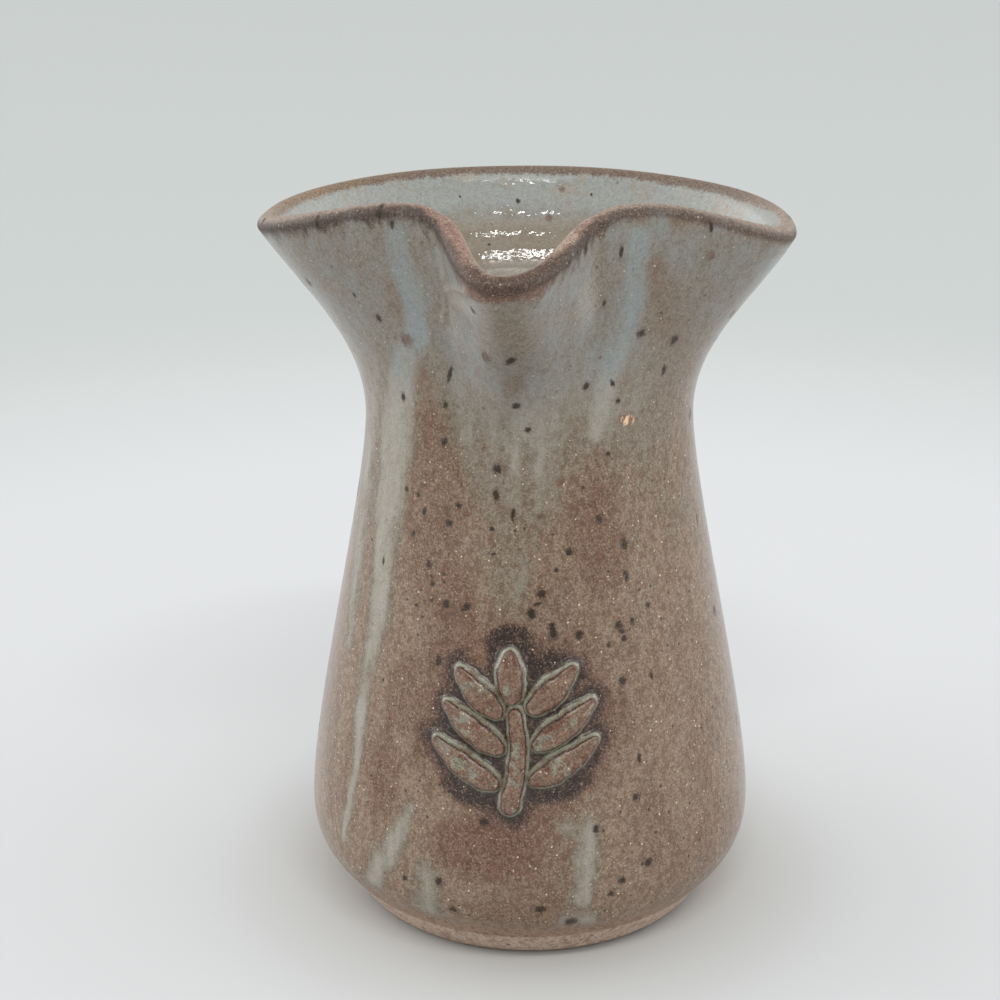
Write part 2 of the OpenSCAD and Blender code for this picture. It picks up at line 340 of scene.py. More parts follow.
@dataclass(frozen=True)
class PhotoCamera:
    """The camera that sees the creamer as in the photograph: millimetres, degrees, and clips in metres."""

    lens: float = 72.0
    sensor: float = 36.0
    frame_px: float = 1000.0
    distance: float = 322.6
    height: float = 191.3
    pitch: float = 20.49
    yaw: float = -0.894
    roll: float = -0.325
    turn: float = 4.75
    clip_start: float = 0.01
    clip_end: float = 50.0

    def axes(self) -> tuple[Vector, Vector, Vector]:
        """Returns the camera's directions ahead, right and up."""
        pitch, yaw, roll = (math.radians(a) for a in (self.pitch, self.yaw, self.roll))
        ahead = Vector((math.sin(yaw) * math.cos(pitch), math.cos(yaw) * math.cos(pitch), -math.sin(pitch)))
        level = ahead.cross(Vector((0, 0, 1))).normalized()
        above = level.cross(ahead)
        right = math.cos(roll) * level + math.sin(roll) * above
        up = -math.sin(roll) * level + math.cos(roll) * above
        spin = Matrix.Rotation(math.radians(self.turn), 3, "Z")
        return spin @ ahead, spin @ right, spin @ up

    def place(self) -> Vector:
        """Returns where the camera stands, in millimetres."""
        return Matrix.Rotation(math.radians(self.turn), 3, "Z") @ Vector((0, -self.distance, self.height))

    @property
    def focal_px(self) -> float:
        """Focal length in pixels of the photograph."""
        return self.lens / self.sensor * self.frame_px

    def ray(self, across: float, down: float) -> Vector:
        """Returns the direction in which the camera sees a pixel."""
        ahead, right, up = self.axes()
        middle = self.frame_px / 2
        return (
            ahead + right * ((across - middle) / self.focal_px) - up * ((down - middle) / self.focal_px)
        ).normalized()

    def build(self) -> bpy.types.Object:
        """Makes Blender's camera and returns it."""
        data = bpy.data.cameras.new("photo_camera")
        data.lens, data.sensor_width = self.lens, self.sensor
        data.clip_start, data.clip_end = self.clip_start, self.clip_end
        camera = bpy.data.objects.new("photo_camera", data)
        ahead, right, up = self.axes()
        turn = Matrix((right, up, -ahead)).transposed().to_4x4()
        camera.matrix_world = Matrix.Translation(self.place() * METRE_PER_MM) @ turn
        bpy.context.scene.collection.objects.link(camera)
        bpy.context.scene.camera = camera
        return camera


@dataclass(frozen=True)
class Spot:
    """A place on the pot that the photograph shows."""

    place: Array
    out: Array
    angle: float
    height: float
    mm_per_px: float


class Sighting:
    """Finds the place on the wall that a pixel of the photograph shows."""

    def __init__(self, camera: PhotoCamera, wall: bpy.types.Object) -> None:
        """Takes the camera and the wall's solid."""
        self.camera = camera
        self.tree = BVHTree.FromObject(wall, bpy.context.evaluated_depsgraph_get())

    def at(self, across: float, down: float) -> Spot | None:
        """Looks along one pixel.

        Args:
            across: pixels from the left of the photograph.
            down: pixels from its top.

        Returns:
            The place on the wall, or None where the pixel misses it.
        """
        start, way = self.camera.place(), self.camera.ray(across, down)
        hit, normal, _, _ = self.tree.ray_cast(start * METRE_PER_MM, way)
        if hit is None:
            return None
        place = np.array(hit) / METRE_PER_MM
        ahead = self.camera.axes()[0]
        depth = (Vector(place) - start).dot(ahead)
        return Spot(
            place=place,
            out=np.array(normal),
            angle=math.degrees(math.atan2(place[0], -place[1])),
            height=float(place[2]),
            mm_per_px=depth / self.camera.focal_px,
        )


@dataclass(frozen=True)
class Run:
    """A run of glaze: where it flows, read off the photograph as (across, down, width) in pixels."""

    points: tuple[Triple, ...]
    strength: float = 1.0


@dataclass(frozen=True)
class Patch:
    """A soft patch of glaze, read off the photograph in pixels."""

    across: float
    down: float
    width: float
    height: float
    strength: float = 1.0


class FleckKind(Enum):
    """What a fleck in the glaze is."""

    IRON = 0.0
    RUST = 1.0
    CHIP = 2.0


@dataclass(frozen=True)
class Fleck:
    """A fleck in the glaze, read off the photograph in pixels, with its lean in degrees."""

    across: float
    down: float
    width: float
    height: float
    lean: float = 0.0


THICK_RUNS = (
    Run(((394, 232, 44), (402, 262, 58), (411, 296, 56), (418, 332, 44)), 0.9),
    Run((
        (418, 332, 44), (408, 354, 48), (398, 400, 54), (391, 450, 56), (387, 500, 52), (383, 560, 42),
        (379, 612, 36),
    )),
    Run((
        (379, 612, 36), (369, 660, 30), (361, 710, 22), (357, 765, 15), (348, 810, 14), (343, 838, 12),
    ), 0.84),
    # Along the left edge: partly a real pale run, partly painted sheen where the bright side grazes the wall.
    Run(((374, 380, 40), (368, 450, 46), (362, 520, 42), (354, 590, 34), (350, 640, 20)), 0.72),
    Run(((530, 330, 140), (524, 420, 116), (519, 500, 92), (512, 560, 74), (503, 610, 50)), 0.46),
    Run((
        (640, 236, 40), (637, 288, 58), (627, 330, 56), (612, 366, 50), (602, 400, 38), (596, 436, 26),
    ), 0.92),
    Run(((604, 300, 18), (598, 340, 26), (589, 378, 22)), 0.7),
    Run(((690, 258, 46), (724, 272, 42), (748, 254, 30)), 0.6),
    Run(((345, 250, 60), (372, 268, 50)), 0.55),
    Run(((620, 400, 60), (628, 470, 44), (630, 540, 30)), 0.35),
    Run(((556, 636, 28), (573, 664, 28)), 0.5),
    Run(((411, 806, 18), (401, 830, 27), (387, 856, 31), (373, 880, 26)), 0.78),
    Run(((427, 872, 34), (429, 906, 36)), 0.78),
    Run(((394, 922, 16), (440, 924, 18)), 0.6),
    Run(((589, 826, 26), (588, 864, 30), (584, 900, 30)), 0.72),
    Run(((568, 919, 28), (588, 919, 28)), 0.85),
    Run(((562, 822, 22), (578, 830, 24)), 0.5),
    Run(((598, 762, 20), (598, 806, 22)), 0.4),
    Run(((452, 300, 26), (466, 306, 30), (478, 314, 20)), 0.8),
    Run(((574, 292, 26), (588, 306, 30), (592, 330, 24)), 0.8),
)

RUST_RUNS = (
    Run(((448, 450, 24), (454, 480, 30), (458, 520, 34)), 0.6),
    Run(((444, 282, 14), (447, 318, 14)), 0.3),
    Run(((654, 266, 30), (659, 300, 38), (666, 334, 44)), 0.44),
    Run(((664, 290, 46), (672, 330, 60), (678, 380, 66), (682, 430, 66), (676, 470, 60)), 0.36),
    Run(((470, 600, 24), (466, 640, 30), (460, 700, 28)), 0.8),
    Run(((393, 690, 12), (384, 760, 16), (372, 812, 12)), 0.8),
    Run(((340, 660, 24), (334, 740, 26), (330, 812, 22)), 0.5),
)

RUST_PATCHES = (
    Patch(486, 338, 26, 90, 0.3), Patch(512, 334, 64, 84, 0.3), Patch(513, 386, 26, 36, 0.34),
    Patch(394, 300, 26, 70, 0.3), Patch(424, 382, 34, 76, 0.42), Patch(434, 430, 48, 90, 0.58),
    Patch(436, 540, 66, 190, 0.62), Patch(450, 596, 50, 110, 0.85), Patch(598, 540, 80, 180, 0.72),
    Patch(382, 775, 56, 110, 0.85), Patch(330, 735, 26, 90, 0.5), Patch(485, 850, 130, 70, 1.3),
    Patch(574, 706, 56, 76, 1.0), Patch(650, 700, 90, 120, 0.3), Patch(404, 690, 50, 110, 0.6),
    Patch(640, 850, 90, 80, 0.3), Patch(520, 915, 200, 30, 0.4),
)

POOL_PATCHES = (
    Patch(520, 642, 64, 44, 1.0), Patch(546, 668, 34, 44, 0.8), Patch(468, 794, 84, 32, 1.0),
    Patch(560, 790, 84, 30, 0.9), Patch(448, 730, 30, 60, 0.6),
)

FLECKS = {
    FleckKind.IRON: (
        Fleck(309, 282, 8, 9), Fleck(379, 318, 7, 8), Fleck(355, 295, 4, 5), Fleck(450, 374, 4, 20, -20),
        Fleck(317, 223, 5, 15), Fleck(379, 213, 6, 19), Fleck(711, 227, 4, 13, 10), Fleck(392, 224, 4, 9),
        Fleck(404, 397, 5, 9), Fleck(446, 405, 5, 8), Fleck(473, 310, 6, 8), Fleck(511, 361, 7, 14, -30),
        Fleck(516, 406, 7, 7), Fleck(528, 430, 5, 6), Fleck(445, 442, 7, 8), Fleck(497, 469, 9, 9),
        Fleck(496, 495, 6, 12), Fleck(513, 515, 5, 12), Fleck(450, 523, 7, 7), Fleck(459, 506, 6, 6),
        Fleck(429, 565, 7, 8), Fleck(433, 584, 6, 6), Fleck(446, 604, 8, 8), Fleck(467, 607, 7, 7),
        Fleck(439, 661, 7, 10), Fleck(542, 594, 8, 10), Fleck(531, 614, 10, 10), Fleck(553, 634, 9, 11),
        Fleck(579, 635, 8, 8), Fleck(580, 677, 14, 6), Fleck(569, 552, 7, 7), Fleck(599, 519, 7, 7),
        Fleck(608, 454, 5, 5), Fleck(384, 561, 3, 8), Fleck(641, 333, 9, 8), Fleck(674, 340, 9, 11),
        Fleck(664, 370, 5, 11), Fleck(612, 383, 4, 8, 25), Fleck(618, 401, 5, 6), Fleck(604, 303, 4, 8),
        Fleck(621, 251, 4, 12), Fleck(586, 386, 6, 8), Fleck(586, 249, 5, 9), Fleck(624, 544, 7, 12),
        Fleck(626, 576, 6, 12), Fleck(648, 605, 6, 6), Fleck(618, 625, 8, 8), Fleck(608, 645, 5, 6),
        Fleck(622, 681, 8, 10), Fleck(651, 675, 5, 8), Fleck(697, 518, 4, 12), Fleck(639, 758, 4, 9),
        Fleck(636, 797, 8, 8), Fleck(596, 829, 6, 8), Fleck(622, 880, 7, 7), Fleck(611, 893, 6, 6),
        Fleck(571, 921, 11, 10), Fleck(540, 909, 10, 8), Fleck(648, 862, 8, 8), Fleck(590, 690, 6, 6),
        Fleck(439, 881, 7, 7), Fleck(405, 878, 6, 6), Fleck(453, 909, 7, 7), Fleck(484, 822, 11, 8),
        Fleck(425, 512, 5, 7), Fleck(419, 495, 4, 5), Fleck(414, 534, 4, 6), Fleck(417, 605, 4, 5),
        Fleck(556, 570, 4, 5), Fleck(632, 621, 5, 7), Fleck(492, 529, 5, 5), Fleck(494, 554, 4, 4),
        Fleck(552, 626, 6, 8), Fleck(624, 638, 6, 7), Fleck(407, 489, 4, 5), Fleck(518, 201, 4, 5),
        Fleck(489, 244, 3, 3), Fleck(591, 194, 3, 4), Fleck(460, 196, 3, 3),
    ),
    FleckKind.RUST: (
        Fleck(562, 189, 5, 5), Fleck(549, 217, 5, 7), Fleck(446, 509, 6, 5), Fleck(467, 514, 5, 5),
        Fleck(422, 487, 5, 6), Fleck(541, 517, 8, 6), Fleck(576, 511, 6, 7), Fleck(619, 536, 9, 5),
        Fleck(602, 517, 7, 5), Fleck(614, 511, 5, 5), Fleck(560, 482, 5, 6), Fleck(447, 570, 6, 6),
        Fleck(450, 613, 14, 15), Fleck(407, 340, 12, 12), Fleck(711, 256, 8, 8), Fleck(623, 707, 6, 16),
        Fleck(736, 719, 6, 12), Fleck(486, 357, 8, 13, -25), Fleck(599, 557, 10, 10),
    ),
    FleckKind.CHIP: (
        Fleck(627, 420, 16, 11),
    ),
}

# A pale line under the lip: partly glaze pooled in the crease, partly a painted highlight along it.
LIP_SEAM = (
    Run(((447, 289, 5), (458, 288, 6), (470, 293, 7), (484, 301, 6), (497, 309, 4)), 0.55),
)

# Pale glaze under the lip: partly real, partly painted light lifting the lip's shaded underside.
PALE_GLAZE_AND_LIGHT_PATCHES = (
    Patch(462, 303, 40, 34, 0.4), Patch(452, 326, 24, 50, 0.16), Patch(587, 302, 30, 56, 0.22),
    Patch(512, 330, 84, 96, 0.17),
)

LIP_CREASES = (
    Run(((446, 288, 6), (456, 287, 8), (470, 292, 8), (484, 299, 7), (496, 309, 5)), 0.55),
    Run(((446, 288, 6), (446, 304, 6), (444, 322, 6)), 0.4),
)


class Marks:
    """Fields over the wall that say where the glaze runs, pools and breaks."""

    patch_span: Span = (0.35, 1.45)

    def __init__(self, sighting: Sighting, points: Array, outer: Array) -> None:
        """Takes the points of the wall and where they are on its outside.

        Args:
            sighting: finds the wall behind a pixel.
            points: points of the wall in millimetres, as (count, 3).
            outer: True where a point is on the outside.
        """
        self.sighting = sighting
        self.points = points
        self.outer = outer
        self.radius = np.hypot(points[:, 0], points[:, 1])
        self.angle = np.degrees(np.arctan2(points[:, 0], -points[:, 1]))

    def aside(self, angle: float) -> Array:
        """Returns how far round the wall each point is from an angle, in millimetres."""
        off = (self.angle - angle + HALF_TURN) % FULL_TURN - HALF_TURN
        return np.radians(off) * self.radius

    def along(self, way: Sequence[Triple]) -> Array:
        """Distance from a line on the wall.

        Args:
            way: rows of angle in degrees, height and half width in millimetres.

        Returns:
            The distance of each point over the half width of the line there.
        """
        nearest = np.full(len(self.points), np.inf)
        for (a0, z0, w0), (a1, z1, w1) in zip(way, way[1:]):
            across, up = self.aside(a0), self.points[:, 2] - z0
            reach_a = np.radians(a1 - a0) * self.radius
            reach_z = z1 - z0
            share = (across * reach_a + up * reach_z) / (reach_a**2 + reach_z**2 + TINY)
            share = np.clip(share, 0.0, 1.0)
            gap = np.hypot(across - share * reach_a, up - share * reach_z)
            nearest = np.minimum(nearest, gap / (w0 + (w1 - w0) * share))
        return nearest

    def seen(self, runs: Iterable[Run]) -> list[Line]:
        """Runs of the photograph on the wall.

        Args:
            runs: runs read off the photograph.

        Returns:
            Lines on the wall with their strengths.
        """
        lines = []
        for run in runs:
            way = []
            for across, down, width in run.points:
                spot = self.sighting.at(across, down)
                if spot is not None:
                    way.append((spot.angle, spot.height, width / 2 * spot.mm_per_px))
            lines.append((way, run.strength))
        return lines

    def field(self, lines: Iterable[Line], start: float, end: float) -> Array:
        """Strength of several lines together.

        Args:
            lines: lines on the wall with their strengths.
            start: share of the half width up to which a line is full.
            end: share at which it has faded out.

        Returns:
            One value per point, 0 away from the lines.
        """
        strongest = np.zeros(len(self.points))
        for way, strength in lines:
            fade = 1.0 - ramp(self.along(way), start, end)
            strongest = np.maximum(strongest, strength * fade)
        return strongest * self.outer

    def patches(self, patches: Iterable[Patch]) -> Array:
        """Strength of several soft patches together.

        Args:
            patches: patches read off the photograph.

        Returns:
            One value per point, 0 away from the patches.
        """
        strongest = np.zeros(len(self.points))
        for patch in patches:
            spot = self.sighting.at(patch.across, patch.down)
            if spot is None:
                continue
            wide = patch.width / 2 * spot.mm_per_px
            high = patch.height / 2 * spot.mm_per_px
            gap = np.hypot(self.aside(spot.angle) / wide, (self.points[:, 2] - spot.height) / high)
            strongest = np.maximum(strongest, patch.strength * (1.0 - ramp(gap, *self.patch_span)))
        return strongest * self.outer


@dataclass(frozen=True)
class Sprout:
    """A strip of the sprig, drawn flat from the sprig's middle, in millimetres."""

    name: str
    spine: Array
    way: Array
    half: Array
    height: Array
    vein: float


@dataclass(frozen=True)
class SprigShape:
    """Sizes of the sprig in millimetres and degrees, the same as those of the solid."""

    middle_z: float = 44.0
    height: float = 27.0
    stem_w: float = 3.4
    leaf_len: float = 13.0
    leaf_w: float = 4.5
    relief: float = 1.9
    stem_foot_share: float = -0.5
    stem_top_share: float = 0.16
    stem_sway_share: float = 0.045
    stem_taper_share: float = 0.7
    leaf_end_share: float = 0.3
    leaf_belly_power: float = 0.8
    leaf_curl_angle: float = 16.0
    seat_gap: float = 0.3
    vein_share: float = 0.16
    end_drop_share: float = 0.35
    high_leaf_share: float = 0.8
    middle_leaf_share: float = 0.95
    low_node_share: float = -0.33
    middle_node_share: float = -0.115
    high_node_share: float = 0.1
    right_lift_share: float = 0.03
    sway_start_share: float = 0.1
    tip_lean_share: float = 0.25
    probe_share: float = 0.002
    low_leaf_angle: float = 58.0
    middle_leaf_angle: float = 54.0
    high_leaf_angle: float = 46.0
    shares: int = 65

    def stem_middle(self, share: Array) -> Array:
        """Returns points of the stem's middle."""
        reach = self.stem_top_share - self.stem_foot_share
        sway = self.stem_sway_share * self.height * np.sin(np.pi * (share - self.sway_start_share))
        return np.stack([sway, (self.stem_foot_share + reach * share) * self.height], -1)

    def stem_half(self, share: Array) -> Array:
        """Returns half the stem's width."""
        return self.stem_w / 2 * (1.0 - (1.0 - self.stem_taper_share) * share)

    def even_shares(self) -> Array:
        """Returns shares along a strip, closer together at its ends."""
        return (1.0 - np.cos(np.linspace(0.0, np.pi, self.shares))) / 2

    def stem(self) -> Sprout:
        """Returns the stem."""
        s = self.even_shares()
        ahead = self.stem_middle(s + self.probe_share) - self.stem_middle(s - self.probe_share)
        full = np.full(len(s), self.relief)
        way = np.arctan2(ahead[:, 0], ahead[:, 1])
        return Sprout("stem", self.stem_middle(s), way, self.stem_half(s), full, 0.0)

    def leaf(self, name: str, start: Array, lean: float, length: float) -> Sprout:
        """A leaf that curls up towards its tip.

        Args:
            name: the leaf's name.
            start: where it starts.
            lean: its angle from upright, in degrees.
            length: its length.

        Returns:
            The leaf's strip.
        """
        s = self.even_shares()
        bend = -self.leaf_curl_angle if lean < 0 else self.leaf_curl_angle
        way = np.radians(lean - bend * (s - 0.5))
        chord = np.radians(lean - bend * (s - 1.0) / 2)
        swell = np.sin(np.pi * s**self.leaf_belly_power)
        spine = start + length * s[:, None] * np.stack([np.sin(chord), np.cos(chord)], -1)
        half = self.leaf_w / 2 * (self.leaf_end_share + (1.0 - self.leaf_end_share) * swell)
        height = self.relief * (1.0 - self.end_drop_share * (1.0 - swell))
        return Sprout(name, spine, way, half, height, self.vein_share * self.relief)

    def side_leaf(self, name: str, node_share: float, lean: float, length_share: float) -> Sprout:
        """Returns a leaf that grows from the stem's side."""
        s = (node_share - self.stem_foot_share) / (self.stem_top_share - self.stem_foot_share)
        clear = float(self.stem_half(np.array(s))) + self.seat_gap
        clear += self.leaf_end_share * self.leaf_w / 2 * math.cos(math.radians(lean))
        start = self.stem_middle(np.array(s)) + np.array([math.copysign(clear, lean), 0.0])
        return self.leaf(name, start, lean, self.leaf_len * length_share)

    def strips(self) -> list[Sprout]:
        """Returns the stem and all leaves."""
        top = self.stem_middle(np.array(1.0)) + np.array([0.0, self.seat_gap])
        tip_len = -self.stem_foot_share * self.height - float(top[1])
        rows = (
            ("low", self.low_node_share, self.low_leaf_angle, 1.0),
            ("middle", self.middle_node_share, self.middle_leaf_angle, self.middle_leaf_share),
            ("high", self.high_node_share, self.high_leaf_angle, self.high_leaf_share),
        )
        leaves = [
            self.side_leaf(f"leaf_{side}_{row}", node_share + lift, sign * lean, length_share)
            for side, sign, lift in (("left", -1, 0.0), ("right", 1, self.right_lift_share))
            for row, node_share, lean, length_share in rows
        ]
        tip = self.leaf("leaf_tip", top, -self.leaf_curl_angle * self.tip_lean_share, tip_len)
        return [self.stem(), tip, *leaves]


def srgb(red: int, green: int, blue: int) -> Colour:
    """Returns a colour for a shader from its values as seen on a screen."""

    def linear(value: int) -> float:
        """Returns one channel without the screen's curve."""
        v = value / 255
        return v / 12.92 if v <= 0.04045 else ((v + 0.055) / 1.055) ** 2.4

    return (linear(red), linear(green), linear(blue), 1.0)


@dataclass(frozen=True)
class Cloud:
    """Cloudy noise: its clouds' size in millimetres, how tall they stand and how far they are moved."""

    size: float
    detail: float = 2.0
    rough: float = 0.5
    tall: float = 1.0
    offset: Triple = (0.0, 0.0, 0.0)


@dataclass(frozen=True)
class Specks:
    """Scattered round specks in millimetres, one in each of a share of the cells."""

    cell: float
    share: float
    radius: float
    shift: Triple
    smallest: float = 0.4


@dataclass(frozen=True)
class WallClouds:
    """The clouds and shifts in the wall's glaze, from large to fine."""

    wide: Cloud = Cloud(11.0, 3.0, 0.55, tall=2.2)
    drift: Cloud = Cloud(4.2, 3.0, 0.6, tall=1.7, offset=(31.0, 5.0, 2.0))
    strand: Cloud = Cloud(2.1, 3.0, 0.6, tall=6.0, offset=(3.0, 15.0, 8.0))
    peel: Cloud = Cloud(1.6, offset=(9.0, 9.0, 9.0))
    strokes: Cloud = Cloud(1.1, 3.0, 0.7, tall=3.0, offset=(12.0, 1.0, 3.0))
    mottle: Cloud = Cloud(0.9, 3.0, 0.65, offset=(11.0, 14.0, 5.0))
    pits: Cloud = Cloud(0.85, 0.6, offset=(17.0, 3.0, 8.0))
    ragged: Cloud = Cloud(0.75, 3.0, 0.62, tall=1.3, offset=(4.0, 2.0, 6.0))
    spiky: Cloud = Cloud(0.6, 3.0, 0.7, tall=1.6, offset=(2.0, 2.0, 6.0))
    sponge: Cloud = Cloud(0.45, 3.0, 0.7, offset=(2.0, 31.0, 3.0))
    grit: Cloud = Cloud(0.3, 2.0, 0.6, offset=(5.0, 8.0, 40.0))
    iron: Cloud = Cloud(0.28, 2.0, 0.6)


@dataclass(frozen=True)
class StripClouds:
    """The clouds in the sprig's glaze, from large to fine."""

    drift: Cloud = Cloud(3.1, 3.0, 0.6, offset=(3.0, 5.0, 2.0))
    patchy: Cloud = Cloud(2.2, 3.0, 0.6, offset=(13.0, 2.0, 7.0))
    peel: Cloud = Cloud(1.1, offset=(9.0, 9.0, 9.0))
    ragged: Cloud = Cloud(0.6, 3.0, 0.62, offset=(4.0, 2.0, 6.0))


@dataclass(frozen=True)
class Grain:
    """The fine grain that lies all through the glaze, from large to fine."""

    ring: Specks = Specks(2.3, 0.5, 0.55, (0.3, 6.7, 2.9))
    dot: Specks = Specks(2.2, 0.6, 0.36, (5.3, 1.7, 9.1))
    red: Cloud = Cloud(1.5, 3.0, 0.65, tall=1.5, offset=(21.0, 4.0, 4.0))
    medium: Cloud = Cloud(1.0, 3.0, 0.65, tall=1.3, offset=(1.0, 9.0, 4.0))
    # Pale specks: partly real, partly painted sparkle.
    pale_speck_and_sparkle: Specks = Specks(0.9, 0.3, 0.2, (2.3, 8.7, 4.1))
    pepper: Specks = Specks(0.75, 0.4, 0.17, (6.3, 2.7, 1.1))
    fine: Cloud = Cloud(0.34, 3.0, 0.7, offset=(7.0, 3.0, 1.0))


class Signal:
    """A value or vector that changes over a surface, taken from a node's output."""

    def __init__(self, graph: "Graph", socket: bpy.types.NodeSocket) -> None:
        """Takes the graph and the socket."""
        self.graph = graph
        self.socket = socket

    def math(self, operation: str, other: "Signal | float", swap: bool = False) -> "Signal":
        """Joins this value with another in a Math node.

        Args:
            operation: the node's operation.
            other: the other value.
            swap: True puts the other value first.

        Returns:
            The node's result.
        """
        first, second = (other, self) if swap else (self, other)
        node = self.graph.add("ShaderNodeMath", {"operation": operation}, {0: first, 1: second})
        return Signal(self.graph, node.outputs[0])

    def __add__(self, other: "Signal | float") -> "Signal":
        """Returns the sum."""
        return self.math("ADD", other)

    def __radd__(self, other: float) -> "Signal":
        """Returns the sum."""
        return self.math("ADD", other, swap=True)

    def __sub__(self, other: "Signal | float") -> "Signal":
        """Returns the difference."""
        return self.math("SUBTRACT", other)

    def __rsub__(self, other: float) -> "Signal":
        """Returns the difference from a number."""
        return self.math("SUBTRACT", other, swap=True)

    def __mul__(self, other: "Signal | float") -> "Signal":
        """Returns the product."""
        return self.math("MULTIPLY", other)

    def __rmul__(self, other: float) -> "Signal":
        """Returns the product."""
        return self.math("MULTIPLY", other, swap=True)

    def size(self) -> "Signal":
        """Returns the value without its sign."""
        return self.math("ABSOLUTE", 0.0)

    def most(self, other: "Signal | float") -> "Signal":
        """Returns the larger of two values."""
        return self.math("MAXIMUM", other)

    def least(self, other: "Signal | float") -> "Signal":
        """Returns the smaller of two values."""
        return self.math("MINIMUM", other)

    def step(self, start: float, end: float) -> "Signal":
        """Returns a smooth step from 0 at start to 1 at end."""
        node = self.graph.add(
            "ShaderNodeMapRange",
            {"interpolation_type": "SMOOTHSTEP"},
            {"Value": self, "From Min": start, "From Max": end},
        )
        return Signal(self.graph, node.outputs[0])

    def vector(self, operation: str, other: "Signal | Sequence[float]") -> "Signal":
        """Returns this vector joined with another in a Vector Math node."""
        node = self.graph.add("ShaderNodeVectorMath", {"operation": operation}, {0: self, 1: other})
        return Signal(self.graph, node.outputs["Vector"])

    def length(self) -> "Signal":
        """Returns the vector's length."""
        node = self.graph.add("ShaderNodeVectorMath", {"operation": "LENGTH"}, {0: self})
        return Signal(self.graph, node.outputs["Value"])


Value = Signal | float
Tone = Signal | Colour


class Graph:
    """The nodes of one material or world."""

    def __init__(self, owner: bpy.types.Material | bpy.types.World) -> None:
        """Takes the material or world and empties its node tree."""
        owner.use_nodes = True
        self.tree = owner.node_tree
        self.tree.nodes.clear()

    def add(self, kind: str, settings: Settings = None, inputs: Inputs = None) -> bpy.types.Node:
        """Adds a node.

        Args:
            kind: the node's type.
            settings: its settings, which are set first.
            inputs: values or links by a socket's name or number.

        Returns:
            The node.
        """
        node = self.tree.nodes.new(kind)
        for name, value in (settings or {}).items():
            setattr(node, name, value)
        for key, value in (inputs or {}).items():
            socket = self._socket(node, key)
            if isinstance(value, Signal):
                self.tree.links.new(value.socket, socket)
            elif isinstance(value, bpy.types.NodeSocket):
                self.tree.links.new(value, socket)
            else:
                socket.default_value = value
        return node

    @staticmethod
    def _socket(node: bpy.types.Node, key: str | int) -> bpy.types.NodeSocket:
        """Returns the input in use with a name or number."""
        if isinstance(key, int):
            return node.inputs[key]
        return next(socket for socket in node.inputs if socket.name == key and socket.enabled)

    def value(
        self, kind: str, settings: Settings = None, inputs: Inputs = None, output: str | int = 0
    ) -> Signal:
        """Returns an output of a new node as a signal."""
        return Signal(self, self.add(kind, settings, inputs).outputs[output])

    def axes(self, vector: Signal) -> tuple[Signal, ...]:
        """Returns a vector's x, y and z."""
        node = self.add("ShaderNodeSeparateXYZ", None, {0: vector})
        return tuple(Signal(self, output) for output in node.outputs)

    def place(self) -> Signal:
        """Returns the place on the object in millimetres."""
        spot = self.value("ShaderNodeTexCoord", output="Object")
        return spot.vector("MULTIPLY", (1 / METRE_PER_MM,) * 3)

    def attribute(self, name: str, output: str = "Fac") -> Signal:
        """Returns a value that the mesh carries, or a vector from the output of that name."""
        return self.value("ShaderNodeAttribute", {"attribute_name": name}, output=output)

    def noise(self, place: Signal, cloud: Cloud) -> Signal:
        """Cloudy noise.

        Args:
            place: where it is read, in millimetres.
            cloud: its sizes.

        Returns:
            Values about 0.5.
        """
        warped = place.vector("MULTIPLY", (1.0, 1.0, 1 / cloud.tall))
        if any(cloud.offset):
            warped = warped.vector("ADD", cloud.offset)
        inputs = {"Vector": warped, "Scale": 1 / cloud.size, "Detail": cloud.detail, "Roughness": cloud.rough}
        return self.value("ShaderNodeTexNoise", None, inputs)

    def tear(self, place: Signal, scale: float, detail: float, reach: float) -> Signal:
        """Uneven shifts across a surface.

        Args:
            place: where they are read, in millimetres.
            scale: how many of them come in a millimetre.
            detail: how many finer layers they have.
            reach: how far they go.

        Returns:
            A vector about 0 with nothing along z.
        """
        inputs = {"Vector": place, "Scale": scale, "Detail": detail, "Roughness": 0.6}
        shift = self.value("ShaderNodeTexNoise", None, inputs, "Color").vector("SUBTRACT", (0.5, 0.5, 0.5))
        return shift.vector("MULTIPLY", (reach, reach, 0.0))

    def speck_gap(self, place: Signal, specks: Specks) -> Signal:
        """Scattered round specks.

        Args:
            place: where they are read, in millimetres.
            specks: their sizes.

        Returns:
            The way to the nearest speck's middle over its radius, large where there is none.
        """
        shifted = place.vector("ADD", specks.shift)
        cells = self.add("ShaderNodeTexVoronoi", None, {"Vector": shifted, "Scale": 1 / specks.cell})
        parts = self.add("ShaderNodeSeparateColor", None, {0: Signal(self, cells.outputs["Color"])})
        luck, size = Signal(self, parts.outputs[0]), Signal(self, parts.outputs[1])
        missing = luck.math("GREATER_THAN", specks.share)
        reach = (size * (1.0 - specks.smallest) + specks.smallest) * (specks.radius / specks.cell)
        return Signal(self, cells.outputs["Distance"]).math("DIVIDE", reach) + missing * FAR_OFF

    def mix(self, share: Value, first: Tone, second: Tone, blend: str = "MIX") -> Signal:
        """Returns a mix of two colours."""
        settings = {"data_type": "RGBA", "blend_type": blend}
        node = self.add("ShaderNodeMix", settings, {"Factor": share, "A": first, "B": second})
        return Signal(self, next(s for s in node.outputs if s.enabled))


